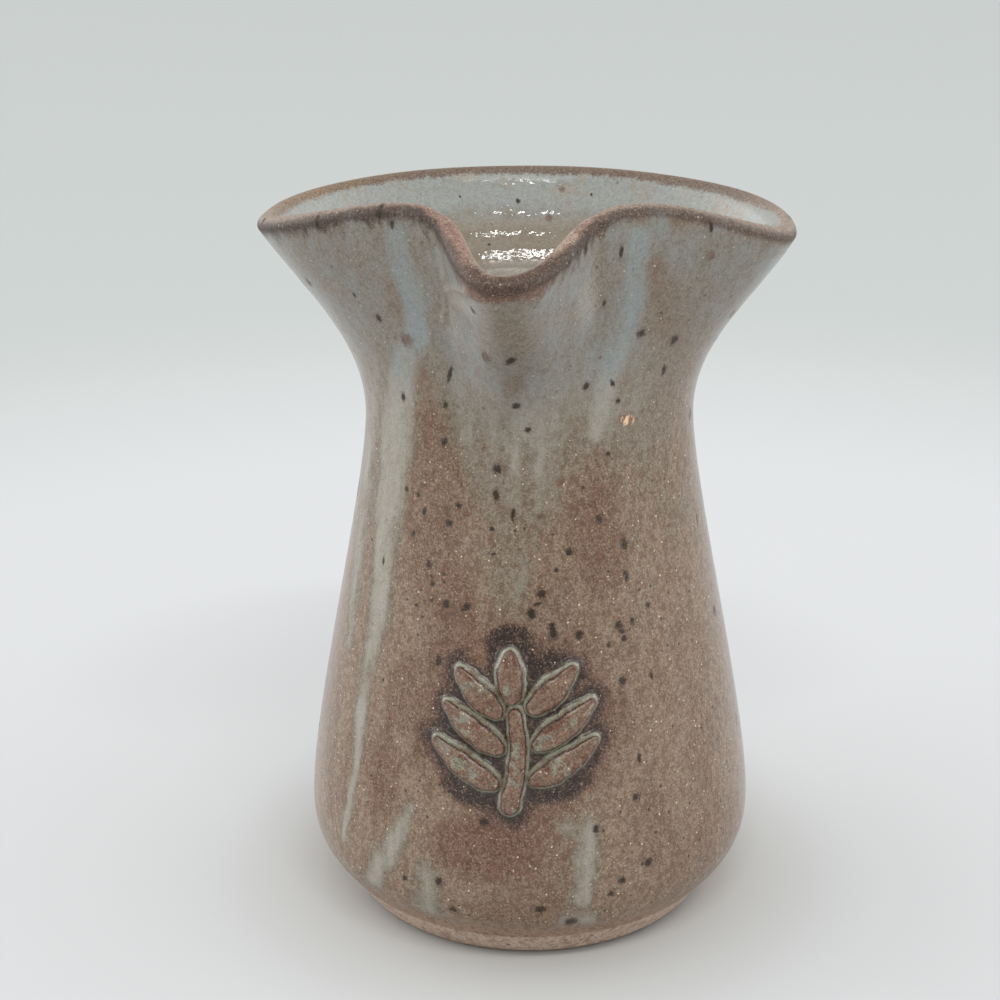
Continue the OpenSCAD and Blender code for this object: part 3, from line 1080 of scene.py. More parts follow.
@dataclass(frozen=True)
class GlazePalette:
    """Colours of the clay, the iron and the glaze over them, with some painted light and shade tones."""

    tan: Colour = srgb(136, 118, 100)
    grey: Colour = srgb(125, 115, 101)
    brown: Colour = srgb(121, 98, 81)
    rust: Colour = srgb(108, 75, 60)
    thick: Colour = srgb(153, 149, 139)
    thick_blue: Colour = srgb(134, 142, 142)
    shade: Colour = srgb(186, 166, 150)
    light: Colour = srgb(172, 154, 133)
    speck: Colour = srgb(60, 42, 30)
    iron: Colour = srgb(33, 22, 4)
    iron_red: Colour = srgb(78, 54, 40)
    orange: Colour = srgb(126, 86, 67)
    chip: Colour = srgb(224, 190, 152)
    # Pale specks: partly real, partly painted sparkle.
    pale_speck_and_sparkle: Colour = srgb(226, 208, 182)
    halo: Colour = srgb(50, 36, 31)
    halo_edge: Colour = srgb(78, 57, 48)
    rim: Colour = srgb(54, 36, 24)
    rim_tan: Colour = srgb(130, 103, 82)
    rim_top: Colour = srgb(146, 130, 116)
    rim_back: Colour = srgb(110, 91, 77)
    ochre: Colour = srgb(132, 108, 78)
    lip: Colour = srgb(58, 34, 20)
    lip_low: Colour = srgb(135, 96, 75)
    lip_light: Colour = srgb(100, 67, 48)
    flank_left: Colour = srgb(147, 116, 104)
    flank_right: Colour = srgb(166, 146, 129)
    flank_red: Colour = srgb(132, 98, 84)
    # Pale pooled glaze, also used for painted highlights and painted light under the lip.
    pale_glaze_and_painted_light: Colour = srgb(186, 176, 162)
    inside: Colour = srgb(144, 149, 145)
    inside_tan: Colour = srgb(150, 136, 119)
    # Darker deep inside: partly the glaze's tone, partly painted shade of the hollow.
    inside_deep_tone_and_shade: Colour = srgb(134, 122, 104)
    # Painted bounce light: a lighter, warmer tone for the lower body, which faces down into shade.
    low: Colour = srgb(180, 141, 112)
    bevel: Colour = srgb(206, 187, 171)
    clay: Colour = srgb(158, 128, 101)
    clay_dark: Colour = srgb(120, 84, 62)
    strip_tan: Colour = srgb(122, 98, 82)
    strip_grey: Colour = srgb(134, 135, 120)
    strip_rust: Colour = srgb(98, 60, 44)
    strip_edge: Colour = srgb(54, 39, 32)
    pool: Colour = srgb(136, 139, 123)
    # Pale pooled glaze with a painted highlight along the sprig's foot.
    pale_pool_and_painted_highlight: Colour = srgb(176, 176, 160)


@dataclass(frozen=True)
class Gloss:
    """How the glaze shines and how uneven it is, its relief in millimetres."""

    ior: float = 1.45
    coat_weight: float = 0.1
    coat_roughness: float = 0.07
    roughness: float = 0.2
    peel_mm: float = 0.072
    strip_peel_mm: float = 0.054
    grain_mm: float = 0.024
    ragged_mm: float = 0.03
    fleck_mm: float = 0.05
    pit_mm: float = 0.07
    grain_rough: float = 0.15
    fleck_rough: float = 0.1
    bare_rough: float = 0.55
    dry_rough: float = 0.34
    foot_rough: float = 0.3
    throat_rough: float = 0.5
    strip_rough: float = 0.08
    strip_grain_rough: float = 0.12
    inside_calm: float = 0.85
    inside_wet: float = 0.86


@dataclass
class Coat:
    """The glaze while it is laid on, with the place in millimetres and the clouds that its layers share."""

    graph: Graph
    place: Signal
    drift: Signal
    ragged: Signal
    colour: Signal | None = None

    def lay(self, share: Value, tone: Tone) -> None:
        """Lays a tone over the colour so far."""
        self.colour = self.graph.mix(share, self.colour, tone)


@dataclass(frozen=True)
class GlazeFinish:
    """Speckled glaze over iron-bearing stoneware."""

    palette: GlazePalette = GlazePalette()
    gloss: Gloss = Gloss()
    clouds: WallClouds = WallClouds()
    strip_clouds: StripClouds = StripClouds()
    specks: Grain = Grain()

    def _start(self, name: str, drift: Cloud, ragged: Cloud) -> tuple[bpy.types.Material, Coat]:
        """Returns a new material and its coat of glaze, still without a colour."""
        material = bpy.data.materials.new(name)
        graph = Graph(material)
        place = graph.place()
        return material, Coat(graph, place, graph.noise(place, drift), graph.noise(place, ragged))

    def _grain(self, coat: Coat, thin: Signal) -> Signal:
        """Lays in the fine grain, with pale specks that are partly painted sparkle.

        Args:
            coat: the glaze so far.
            thin: 1 where the glaze is thin and the grain shows most.

        Returns:
            The grain itself.
        """
        tones, kinds, graph, place = self.palette, self.specks, coat.graph, coat.place
        fine, medium, red = (graph.noise(place, kind) for kind in (kinds.fine, kinds.medium, kinds.red))
        ring, pepper = graph.speck_gap(place, kinds.ring), graph.speck_gap(place, kinds.pepper)
        dot, pale_speck_and_sparkle = graph.speck_gap(place, kinds.dot), graph.speck_gap(place, kinds.pale_speck_and_sparkle)
        shaded = graph.mix(1.0, coat.colour, tones.shade, "MULTIPLY")
        coat.lay(medium.step(0.53, 0.4) * (thin * 0.5 + 0.12), shaded)
        coat.lay(fine.step(0.53, 0.37) * (thin * 0.55 + 0.25), shaded)
        coat.lay(fine.step(0.54, 0.68) * (thin * 0.35 + 0.15), tones.light)
        coat.lay(red.step(0.55, 0.68) * (thin * 0.6), tones.rust)
        coat.lay(ring.step(1.0, 0.7) * (thin * 0.6), tones.rust)
        coat.lay(pepper.step(1.0, 0.5) * (thin * 0.5 + 0.1), tones.speck)
        coat.lay(dot.step(1.05, 0.75) * (thin * 0.6 + 0.25), tones.speck)
        coat.lay(ring.step(0.42, 0.25) * (thin * 0.8), tones.light)
        # Pale specks: partly real, partly painted sparkle where light would glint off the glaze.
        coat.lay(pale_speck_and_sparkle.step(1.0, 0.55) * (thin * 0.65 + 0.25), tones.pale_speck_and_sparkle)
        return fine

    def _surface(self, coat: Coat, rough: Signal, clear: Value, height: Signal) -> None:
        """Ends a material with its shader.

        Args:
            coat: the glaze with its final colour.
            rough: the roughness.
            clear: the weight of the clear layer on top.
            height: the relief in millimetres.
        """
        relief = {"Height": height, "Distance": METRE_PER_MM, "Strength": 1.0}
        inputs = {
            "Base Color": coat.colour,
            "Roughness": rough,
            "IOR": self.gloss.ior,
            "Coat Weight": clear,
            "Coat Roughness": self.gloss.coat_roughness,
            "Normal": coat.graph.value("ShaderNodeBump", None, relief, "Normal"),
        }
        shader = coat.graph.add("ShaderNodeBsdfPrincipled", None, inputs)
        coat.graph.add("ShaderNodeOutputMaterial", None, {"Surface": shader.outputs[0]})

    def _body_tone(self, coat: Coat, level: Signal) -> Signal:
        """Lays the glaze of the outside, from thin brown to thick pale, with painted bounce light low down.

        Args:
            coat: the glaze so far.
            level: the height in millimetres.

        Returns:
            1 where the glaze is thin.
        """
        tones, graph, drift = self.palette, coat.graph, coat.drift
        wide = graph.noise(coat.place, self.clouds.wide)
        strand = graph.noise(coat.place, self.clouds.strand)
        mottle = graph.noise(coat.place, self.clouds.mottle).step(0.42, 0.58)
        thick, rust = graph.attribute("thick"), graph.attribute("rust")
        uneven = (strand - 0.5) * 0.9 + (drift - 0.5) * 0.7
        calm = level.step(84.0, 102.0) * 0.5
        run = thick + (uneven + (wide - 0.5) * 0.5) * (1.0 - calm) - rust * 0.3
        worn = rust + uneven * 0.85 - 0.1
        pale = graph.mix((level + (drift - 0.5) * 20.0).step(92.0, 110.0), tones.thick, tones.thick_blue)
        coat.colour = graph.mix((wide + uneven * 0.2).step(0.44, 0.6) * 0.75, tones.tan, tones.brown)
        coat.lay(run.step(0.1, 0.45) * 0.95, tones.grey)
        coat.lay(run.step(0.4, 1.02) * 0.97, pale)
        coat.lay(worn.step(0.05, 0.6) * 0.8, tones.brown)
        coat.lay(worn.step(0.3, 1.0) * (mottle * 0.7 + 0.25), tones.rust)
        # Painted bounce light: lifts the colour low on the body, where it faces down into shade.
        coat.lay(level.step(11.0, 6.5) * 0.42, tones.low)
        on_bevel = (level + (mottle - 0.5) * 0.3).step(5.9, 5.2)
        coat.lay(on_bevel * (mottle * 0.3 + 0.6), tones.bevel)
        return (1.0 - run.step(0.25, 0.85) * 0.85).most(worn.step(0.1, 0.6)) * (1.0 - calm * 0.6)

    def _inside_tone(self, coat: Coat, rim_gap: Signal) -> None:
        """Lays in the pale glaze of the inside, darker deeper down, partly as painted shade.

        Args:
            coat: the glaze so far.
            rim_gap: the way to the rim's crest, positive on the outside.
        """
        tones, graph, drift = self.palette, coat.graph, coat.drift
        # Deeper inside, the glaze darkens: partly its tone, partly painted shade of the hollow.
        deep = (rim_gap + (drift - 0.5) * 9.0).step(-8.5, -15.0)
        tone = graph.mix(drift.step(0.5, 0.68) * 0.6, tones.inside, tones.inside_tan)
        tone = graph.mix(deep * 0.8, tone, tones.inside_deep_tone_and_shade)
        coat.lay(rim_gap.step(-0.4, -2.2), tone)

    def _halo(self, coat: Coat) -> None:
        """Lays the rust and the dark halo round the sprig.

        Args:
            coat: the glaze so far.
        """
        tones, graph, drift = self.palette, coat.graph, coat.drift
        gap = graph.attribute("sprig_gap")
        coat.lay((gap + (drift - 0.5) * 9.0).step(8.0, 2.5) * 0.6, tones.rust)
        spiky = graph.noise(coat.place, self.clouds.spiky)
        reach = gap + (spiky - 0.5) * 3.2 + (drift - 0.5) * 5.0 - graph.attribute("pooled") * 2.3 + 0.3
        coat.lay(reach.step(4.0, 2.2) * 0.75, tones.halo_edge)
        coat.lay(reach.step(3.0, 1.0) * 0.95, tones.halo)

    def _rim_tone(self, coat: Coat, rim_gap: Signal) -> Signal:
        """Lays the iron brown over the rim, where the glaze has run off.

        Args:
            coat: the glaze so far.
            rim_gap: the way to the rim's crest, positive on the outside.

        Returns:
            1 on the brown of the rim.
        """
        tones, graph, drift, ragged = self.palette, coat.graph, coat.drift, coat.ragged
        flank, spout, east, back = (graph.attribute(name) for name in ("flank", "spout", "east", "back"))
        left, right = (flank * -1.0).step(0.0, 1.0), flank.step(0.0, 1.0)
        fine_clouds = (self.clouds.strokes, self.clouds.sponge, self.clouds.grit)
        strokes, sponge, grit = (graph.noise(coat.place, cloud) for cloud in fine_clouds)
        grainy = (ragged - 0.5) * 1.6 + (sponge - 0.5) * 1.2
        dripped = rim_gap + (strokes - 0.5) * (6.0 - east * 4.0) + (drift - 0.5) * 5.0
        below = (dripped - spout * 1.3 + east * 0.4).step(4.7, 1.6)
        inward = grainy - rim_gap - left * 0.6 - right * 0.6 + east * 1.3 + (drift - 0.5) * 1.6
        band = below.least(inward.step(3.6, 2.7))

        worn = (sponge + strokes * 0.5 + east * 0.2).step(0.72, 0.9) * (east * 0.42 + 0.44)
        tone = graph.mix(worn, tones.rim, tones.rim_tan)
        lip = graph.mix((strokes * 0.6 + sponge * 0.4).step(0.48, 0.62) * 0.7, tones.lip, tones.lip_light)
        low = (rim_gap + (sponge - 0.5) * 2.2 + (strokes - 0.5) * 2.2).step(1.0, 3.0)
        lip = graph.mix(low * 0.75, lip, tones.lip_low)
        tone = graph.mix(spout * 0.9, tone, lip)

        top = graph.mix(back, tones.rim_top, tones.rim_back)
        top = graph.mix(graph.attribute("ochre") * drift.step(0.35, 0.55), top, tones.ochre)
        top = graph.mix(left, top, tones.flank_left)
        blotched = graph.mix(drift.step(0.44, 0.58) * 0.7, tones.flank_right, tones.flank_red)
        top = graph.mix(right, top, blotched)
        shade = (sponge.step(0.5, 0.36) * 0.6).most((rim_gap - 0.7).step(-0.5, 1.2) * 0.7)
        top = graph.mix(shade, top, tones.rim)
        edge = rim_gap + grainy * 0.8 + (drift - 0.5) * 3.0 - 0.8 - left * 0.3 - east * 0.9 + spout * 1.7
        coat.lay(band * 0.94, graph.mix(edge.step(0.8, -0.6), tone, top))

        line = (rim_gap + grainy * 0.8 - 1.9 - left * 0.3).size().step(1.3, 0.3)
        coat.lay(line * (sponge.step(0.36, 0.52) * 0.5 + 0.2) * (1.0 - back), tones.halo)
        coat.lay(band * grit.step(0.5, 0.36) * 0.55, tones.speck)
        coat.lay(band * grit.step(0.54, 0.66) * 0.24, tones.light)
        # A pale line along the inner edge of the left flank: partly glaze pooled there, partly a painted
        # highlight where the rim curves inward.
        pool = (rim_gap + 2.2).size().step(0.7, 0.1) * left * ragged.step(0.4, 0.55)
        coat.lay(pool * 0.75, tones.pale_glaze_and_painted_light)
        return band

    def _flecks(self, coat: Coat) -> Signal:
        """Lays the single flecks in.

        Args:
            coat: the glaze so far.

        Returns:
            1 inside a fleck.
        """
        tones, graph, ragged = self.palette, coat.graph, coat.ragged
        torn = graph.attribute("fleck", "Vector").vector("ADD", graph.tear(coat.place, 1.7, 3.0, 2.3))
        gap = torn.vector("ADD", graph.tear(coat.place, 5.0, 2.0, 1.3)).length()
        kind = graph.attribute("fleck_kind")
        is_rust, is_chip = kind.step(0.2, 0.6), kind.step(1.4, 1.6)
        reddish = graph.noise(coat.place, self.clouds.iron).step(0.5, 0.62) * 0.6
        core = graph.mix(reddish, tones.iron, tones.iron_red)
        core = graph.mix(is_rust, core, graph.mix(ragged.step(0.42, 0.58), tones.orange, tones.iron_red))
        core = graph.mix(is_chip, core, graph.mix(ragged.step(0.4, 0.6), tones.chip, tones.orange))
        inside = gap.step(1.28, 0.7)
        coat.lay(gap.step(2.0, 0.9) * 0.42, tones.iron_red)
        coat.lay(inside * (0.97 - (is_rust - is_chip) * 0.42), core)
        return inside

    def for_wall(self) -> bpy.types.Material:
        """Returns the glaze of the thrown wall."""
        tones, gloss, clouds = self.palette, self.gloss, self.clouds
        material, coat = self._start("glaze_wall", clouds.drift, clouds.ragged)
        graph, place = coat.graph, coat.place
        rim_gap, bare = graph.attribute("rim_gap"), graph.attribute("bare")
        level = graph.axes(place)[2]

        thin = self._body_tone(coat, level) * (rim_gap.step(-1.5, 0.0) * 0.8 + 0.2)
        self._inside_tone(coat, rim_gap)
        self._halo(coat)
        band = self._rim_tone(coat, rim_gap)
        # Pale glaze under the lip: partly pooled glaze, partly a painted highlight along the crease and
        # painted light in the lip's shaded underside.
        coat.lay(graph.attribute("cream_and_painted_light") * (1.0 - band), tones.pale_glaze_and_painted_light)
        fine = self._grain(coat, thin.most(band * 0.12))
        fleck = self._flecks(coat)
        coat.lay(bare, graph.mix(coat.drift.step(0.35, 0.7), tones.clay, tones.clay_dark))

        within = rim_gap.step(-3.0, -6.0)
        peel, pits = graph.noise(place, clouds.peel), graph.noise(place, clouds.pits)
        height = peel * gloss.peel_mm + fine * gloss.grain_mm * (1.0 - within * gloss.inside_calm)
        height = height - fleck * gloss.fleck_mm + coat.ragged * (1.0 - within) * gloss.ragged_mm
        height = height + pits * (within * gloss.pit_mm)
        dry = (rim_gap + 0.3).size().step(4.4, 2.4)
        rough = gloss.roughness + (fine - 0.5) * gloss.grain_rough + fleck * gloss.fleck_rough
        rough = rough + bare * gloss.bare_rough + dry * gloss.dry_rough
        rough = (rough + level.step(13.0, 7.0) * gloss.foot_rough) * (1.0 - within * gloss.inside_wet)
        rough = rough + within * level.step(106.2, 104.6) * gloss.throat_rough
        self._surface(coat, rough, (1.0 - bare.most(dry)) * gloss.coat_weight, height)
        return material

    def for_strip(self) -> bpy.types.Material:
        """Returns the glaze of the sprig, which breaks brown over its edges and pools at its foot."""
        tones, gloss, clouds = self.palette, self.gloss, self.strip_clouds
        material, coat = self._start("glaze_sprig", clouds.drift, clouds.ragged)
        graph, place, drift = coat.graph, coat.place, coat.drift
        edge, jagged = graph.attribute("edge"), coat.ragged - 0.5
        patchy = graph.noise(place, clouds.patchy)

        coat.colour = graph.mix(drift.step(0.53, 0.62) * 0.9, tones.strip_tan, tones.strip_grey)
        coat.lay((patchy + (edge - 0.6) * 0.25).step(0.5, 0.6) * 0.85, tones.strip_rust)
        line = edge + jagged * 0.12
        coat.lay(line.step(0.74, 0.82) * line.step(0.95, 0.88) * 0.75, tones.strip_edge)
        side = line.step(0.9, 0.98)
        # A painted highlight along the sprig's foot, over partly real pale pooled glaze.
        light = (edge + jagged * 0.16 - 1.22).size().step(0.14, 0.03) * patchy.step(0.62, 0.45)
        pool = graph.mix(patchy.step(0.5, 0.62) * 0.5, tones.pool, tones.strip_tan)
        coat.lay(side * 0.94, graph.mix(light * 0.6, pool, tones.pale_pool_and_painted_highlight))
        outer = edge + jagged * 0.5 + (drift - 0.5) * 0.7
        coat.lay(outer.step(1.26, 1.62) * 0.95, tones.halo)

        fine = self._grain(coat, side * -0.5 + 0.9)
        height = graph.noise(place, clouds.peel) * gloss.strip_peel_mm + fine * gloss.grain_mm
        rough = gloss.roughness + gloss.strip_rough + (fine - 0.5) * gloss.strip_grain_rough
        self._surface(coat, rough, gloss.coat_weight, height)
        return material


def new_mesh(name: str, points: Array, faces: Sequence[Sequence[int]]) -> bpy.types.Object:
    """Makes a smooth mesh object at the origin.

    Args:
        name: the piece's name.
        points: points in millimetres.
        faces: faces as numbers of points.

    Returns:
        The object, linked to the scene.
    """
    mesh = bpy.data.meshes.new(name)
    mesh.from_pydata((points * METRE_PER_MM).tolist(), [], [list(face) for face in faces])
    mesh.polygons.foreach_set("use_smooth", [True] * len(mesh.polygons))
    mesh.update()
    piece = bpy.data.objects.new(name, mesh)
    bpy.context.scene.collection.objects.link(piece)
    return piece


def carry(piece: bpy.types.Object, name: str, values: Array) -> None:
    """Gives a mesh a value or vector per point.

    Args:
        piece: the object whose mesh carries it.
        name: the value's name.
        values: one number or three per point.
    """
    wide = values.ndim == 2
    kept = piece.data.attributes.new(name, "FLOAT_VECTOR" if wide else "FLOAT", "POINT")
    kept.data.foreach_set("vector" if wide else "value", values.astype(np.float32).ravel())


@dataclass(frozen=True)
class HandMarks:
    """Sizes of what the hands and tools leave in the clay, in millimetres."""

    wobble: float = 0.16
    ring_pitch: float = 4.6
    outer_ring: float = 0.045
    outer_fade_up: Span = (0.0, 8.0)
    outer_fade_down: Span = (104.0, 118.0)
    inner_ring: float = 0.2
    inner_fade_up: Span = (9.0, 19.0)
    inner_fade_down: Span = (97.0, 105.0)
    throat_fade_up: Span = (97.0, 102.0)
    throat_fade_down: Span = (117.4, 119.4)
    throat_rings_z: tuple[float, ...] = (121.0, 116.7, 111.1, 107.7, 104.7, 101.4, 98.0, 94.5)
    throat_rings: tuple[float, ...] = (0.0, 0.075, 0.1, 0.085, 0.06, 0.035, 0.03, 0.03)
    rim_inset: float = 0.05
    rim_wave: float = 0.12
    rim_rows: int = 9
    smoothed_rows: int = 7
    foot_round: float = 1.5
    under_hollow: float = 0.35
    under_edge: float = 3.0
    wire: float = 0.05
    wire_count: float = 1.9
    wire_bend: float = 0.04


@dataclass(frozen=True)
class WallRows:
    """How many rows of points each stretch of the wall gets, and where its two ends stop."""

    under: int = 15
    foot: int = 7
    bevel: int = 10
    belly: int = 20
    body: int = 88
    collar: int = 58
    rim: int = 17
    throat: int = 78
    hollow: int = 50
    corner: int = 18
    floor: int = 8
    end_r: float = 2.0
    end_z: float = 0.4


@dataclass(frozen=True)
class BackRuns:
    """Spans that the runs on the side away from the photograph are drawn from, in millimetres and degrees."""

    thick_count: int = 9
    thick_half: float = 7.0
    rusty_count: int = 13
    rusty_half: float = 6.5
    start_angle: float = 84.0
    wide_angle: float = 194.0
    top: Span = (98.0, 117.0)
    length: Span = (25.0, 85.0)
    half_share: Span = (0.35, 1.0)
    drift_angle: Span = (-7.0, 7.0)
    sway_angle: float = 1.5
    lowest: float = 3.0
    taper: float = 0.55
    points: int = 9
    strength: Span = (0.55, 1.0)
    place_share: Span = (0.2, 0.8)
    low_count: int = 9
    low_start_angle: float = 80.0
    low_wide_angle: float = 200.0
    low_z: Span = (6.0, 26.0)
    low_half: Span = (1.8, 3.6)
    low_lean_angle: Span = (-3.0, 3.0)
    low_steps: Span = (19.0, 6.0)
    low_strength: Span = (0.45, 0.8)


@dataclass(frozen=True)
class BackFlecks:
    """Spans that the flecks the photograph doesn't show are drawn from, in millimetres and degrees."""

    draws: int = 260
    lowest: float = 7.0
    seen_angle: float = 72.0
    seen_inside_angle: float = 90.0
    seen_inside_z: float = 92.0
    half: Span = (0.3, 0.85)
    long_share: Span = (1.0, 1.9)
    lean_angle: Span = (-15.0, 15.0)
    rust_share: float = 0.12


@dataclass(frozen=True)
class FleckSpot:
    """A fleck on the wall, in millimetres and degrees."""

    place: Array
    out: Array
    wide: float
    high: float
    lean: float
    kind: FleckKind
    inward: bool

    def offsets(self, points: Array) -> tuple[Array, Array]:
        """Returns how far points lie across and along the fleck, over its half width and half length."""
        side = unit(np.cross([0.0, 0.0, 1.0], self.out))
        up = unit(np.cross(self.out, side))
        bend = math.radians(self.lean)
        first = math.cos(bend) * side + math.sin(bend) * up
        second = -math.sin(bend) * side + math.cos(bend) * up
        off = points - self.place
        return off @ first / self.wide, off @ second / self.high


@dataclass
class WallMesh:
    """The wall's mesh with what each of its points knows."""

    piece: bpy.types.Object
    points: Array
    inside: Array
    rim_gap: Array

    def normals(self) -> Array:
        """Returns the mesh's normals."""
        flat = np.zeros(self.points.size, np.float32)
        self.piece.data.vertices.foreach_get("normal", flat)
        return flat.reshape(-1, 3).astype(float)


@dataclass
class ThrownWall:
    """The thrown wall with its foot, floor, waist, collar and spout."""

    shape: WallShape
    sighting: Sighting
    hand: HandMarks = HandMarks()
    columns: int = 400
    crowding: float = 0.45
    seed: int = 71
    wave_count: int = 5
    waves: list[Triple] = field(default_factory=list)

    def __post_init__(self) -> None:
        """Draws the waves of the hand-made unevenness."""
        self.waves = ripple(np.random.default_rng(self.seed), self.wave_count)

    def angles(self) -> Array:
        """Returns the columns' angles, closer together at the spout."""
        even = FULL_TURN * np.arange(self.columns) / self.columns - HALF_TURN
        return even - self.crowding * np.degrees(np.sin(np.radians(even)))

    def unevenness(self, angle: Array, height: Array) -> Array:
        """How far the outside stands off the true shape.

        Args:
            angle: angles round the pot, in degrees.
            height: heights in millimetres.

        Returns:
            Millimetres outwards.
        """
        hand, turn = self.hand, np.radians(angle)
        wave = sum(np.sin(n * turn + 2 * np.pi * k * height + start) for n, k, start in self.waves)
        rings = np.sin(2 * np.pi * height / hand.ring_pitch + turn + 0.7 * np.sin(2 * turn))
        fade = ramp(height, *hand.outer_fade_up) * (1.0 - ramp(height, *hand.outer_fade_down))
        return (hand.wobble * wave / len(self.waves) + hand.outer_ring * rings) * fade

    def outside_line(self, counts: WallRows) -> Array:
        """The outside from under the foot to the waist.

        Args:
            counts: how many rows each stretch gets.

        Returns:
            Rows of radius and height.
        """
        shape, cut = self.shape, self.hand.foot_round
        slope = unit(np.array([shape.bevel_r - shape.foot_r, shape.bevel_h]))
        corner, bevel_end = np.array([shape.foot_r, 0.0]), np.array([shape.bevel_r, shape.bevel_h])
        flat_r = np.linspace(counts.end_r, shape.foot_r - cut, counts.under)
        under = np.stack([flat_r, np.zeros(counts.under)], -1)
        ends = (corner - [cut, 0.0], corner - [cut / 3, 0.0], corner + slope * cut / 3, corner + slope * cut)
        soft = cubic(ends, after_first(counts.foot))
        bevel = soft[-1] + (bevel_end - soft[-1]) * after_first(counts.bevel)[:, None]
        belly, body = shape.belly(after_first(counts.belly)), shape.body(after_first(counts.body))
        return np.vstack([under, soft, bevel, belly, body])

    def inside_line(self, counts: WallRows) -> Array:
        """The inside from the waist to the middle of the floor.

        Args:
            counts: how many rows each stretch gets.

        Returns:
            Rows of radius and height.
        """
        shape = self.shape
        floor_r = np.linspace(shape.floor_flat_share * shape.hollow_r, counts.end_r, counts.floor)[1:]
        floor = np.stack([floor_r, np.full(len(floor_r), shape.floor_t)], -1)
        hollow, corner = shape.hollow(after_first(counts.hollow)), shape.corner(after_first(counts.corner))
        return np.vstack([hollow, corner, floor])

    def rows(self, angle: Array) -> tuple[Array, Array, Array, int]:
        """Rows of points from the middle of the underside to the middle of the floor inside.

        Args:
            angle: the columns' angles.

        Returns:
            Points as (rows, columns, 3), the level of each row before the spout lifts it, 1 for each
            row on the inside, and the number of the row on the rim's crest.
        """
        shape, counts = self.shape, WallRows()
        lower, inner = self.outside_line(counts), self.inside_line(counts)
        up, down = after_first(counts.collar), np.linspace(1, 0, counts.throat)
        turns = np.linspace(0, HALF_TURN, counts.rim)[1:-1]
        points = [
            revolved(lower, angle), shape.skin(angle, up), shape.rim(angle, turns),
            shape.collar_inside(angle, down), revolved(inner, angle),
        ]
        rim_line = np.full((len(turns), 2), shape.rim_z)
        level = np.vstack([lower, shape.collar(up), rim_line, shape.collar(down), inner])[:, 1]
        crest = len(lower) + len(up) + len(turns) // 2
        inside = (np.arange(len(level)) > crest).astype(float)
        return np.concatenate(points), level, inside, crest

    @staticmethod
    def normals(grid: Array) -> Array:
        """Returns the direction out of the clay at each point of a closed grid."""
        around = np.roll(grid, -1, axis=1) - np.roll(grid, 1, axis=1)
        return unit(np.cross(around, np.gradient(grid, axis=0)))

    def inner_rings(self, turn: Array, high: Array) -> Array:
        """How far the throwing rings on the inside stand off the true shape.

        Args:
            turn: angles round the pot, in radians.
            high: heights in millimetres.

        Returns:
            Millimetres out of the clay.
        """
        hand = self.hand
        swing = np.sin(2 * np.pi * high / hand.ring_pitch + turn + 0.5 * np.sin(turn + high / 17))
        depth = 0.6 + 0.4 * np.sin(high / 9.0 + turn)
        fade = ramp(high, *hand.inner_fade_up) * (1.0 - ramp(high, *hand.inner_fade_down))
        return hand.inner_ring * swing * depth * fade

    def throat_rings(self, turn: Array, high: Array) -> Array:
        """How far the rings in the throat, read off the photograph, stand off the true shape.

        Args:
            turn: angles round the pot, in radians.
            high: heights in millimetres.

        Returns:
            Millimetres out of the clay.
        """
        hand, count = self.hand, np.arange(len(self.hand.throat_rings_z), dtype=float)
        fade = ramp(high, *hand.throat_fade_up) * (1.0 - ramp(high, *hand.throat_fade_down))
        rings = np.interp(high, hand.throat_rings_z[::-1], -count[::-1])
        depth = np.interp(high, hand.throat_rings_z[::-1], hand.throat_rings[::-1])
        waver = 0.5 * np.sin(2 * turn + 0.3) + 0.3 * np.sin(5 * turn)
        swing = np.sin(2 * np.pi * rings + waver) * (0.8 + 0.2 * np.sin(7 * turn + 1.3 * high))
        return (depth * swing - depth) * fade

    def smoothed(self, moved: Array) -> Array:
        """Returns values evened out over neighbouring rows."""
        count = self.hand.smoothed_rows
        padded = np.pad(moved, ((count // 2, count // 2), (0, 0)), "edge")
        return sum(padded[first : first + len(moved)] for first in range(count)) / count

    def worked(self, grid: Array, level: Array, inside: Array, crest: int, angle: Array) -> Array:
        """Adds the marks of the hands to the true shape.

        Args:
            grid: points as (rows, columns, 3).
            level: the level of each row.
            inside: 1 for each row on the inside.
            crest: the number of the row on the rim's crest.
            angle: the columns' angles.

        Returns:
            The points moved along their normals.
        """
        hand, turn = self.hand, np.radians(angle)[None, :]
        high, within = level[:, None], inside[:, None]
        moved = np.where(within > 0, self.inner_rings(turn, high), self.unevenness(angle[None, :], high))
        near_rim = np.abs(np.arange(len(level)) - crest)[:, None] < hand.rim_rows
        rim_wave = 0.5 + 0.5 * np.sin(5 * turn + 1.3) * np.sin(3 * turn + 0.4)
        moved = self.smoothed(np.where(near_rim, -hand.rim_inset - hand.rim_wave * rim_wave, moved))
        radius = np.hypot(grid[..., 0], grid[..., 1])
        under = (radius < self.shape.foot_r - hand.foot_round + 0.01) & (grid[..., 2] < 0.5)
        hollow = hand.under_hollow * (1.0 - ease(radius / (self.shape.foot_r - hand.under_edge)))
        lines = 1.0 + np.sin(grid[..., 1] * hand.wire_count + hand.wire_bend * grid[..., 0] ** 2)
        moved = np.where(under, -hollow - hand.wire * lines * (hollow > 0), moved)
        moved = moved + self.throat_rings(turn, high) * within
        return grid + self.normals(grid) * moved[..., None]

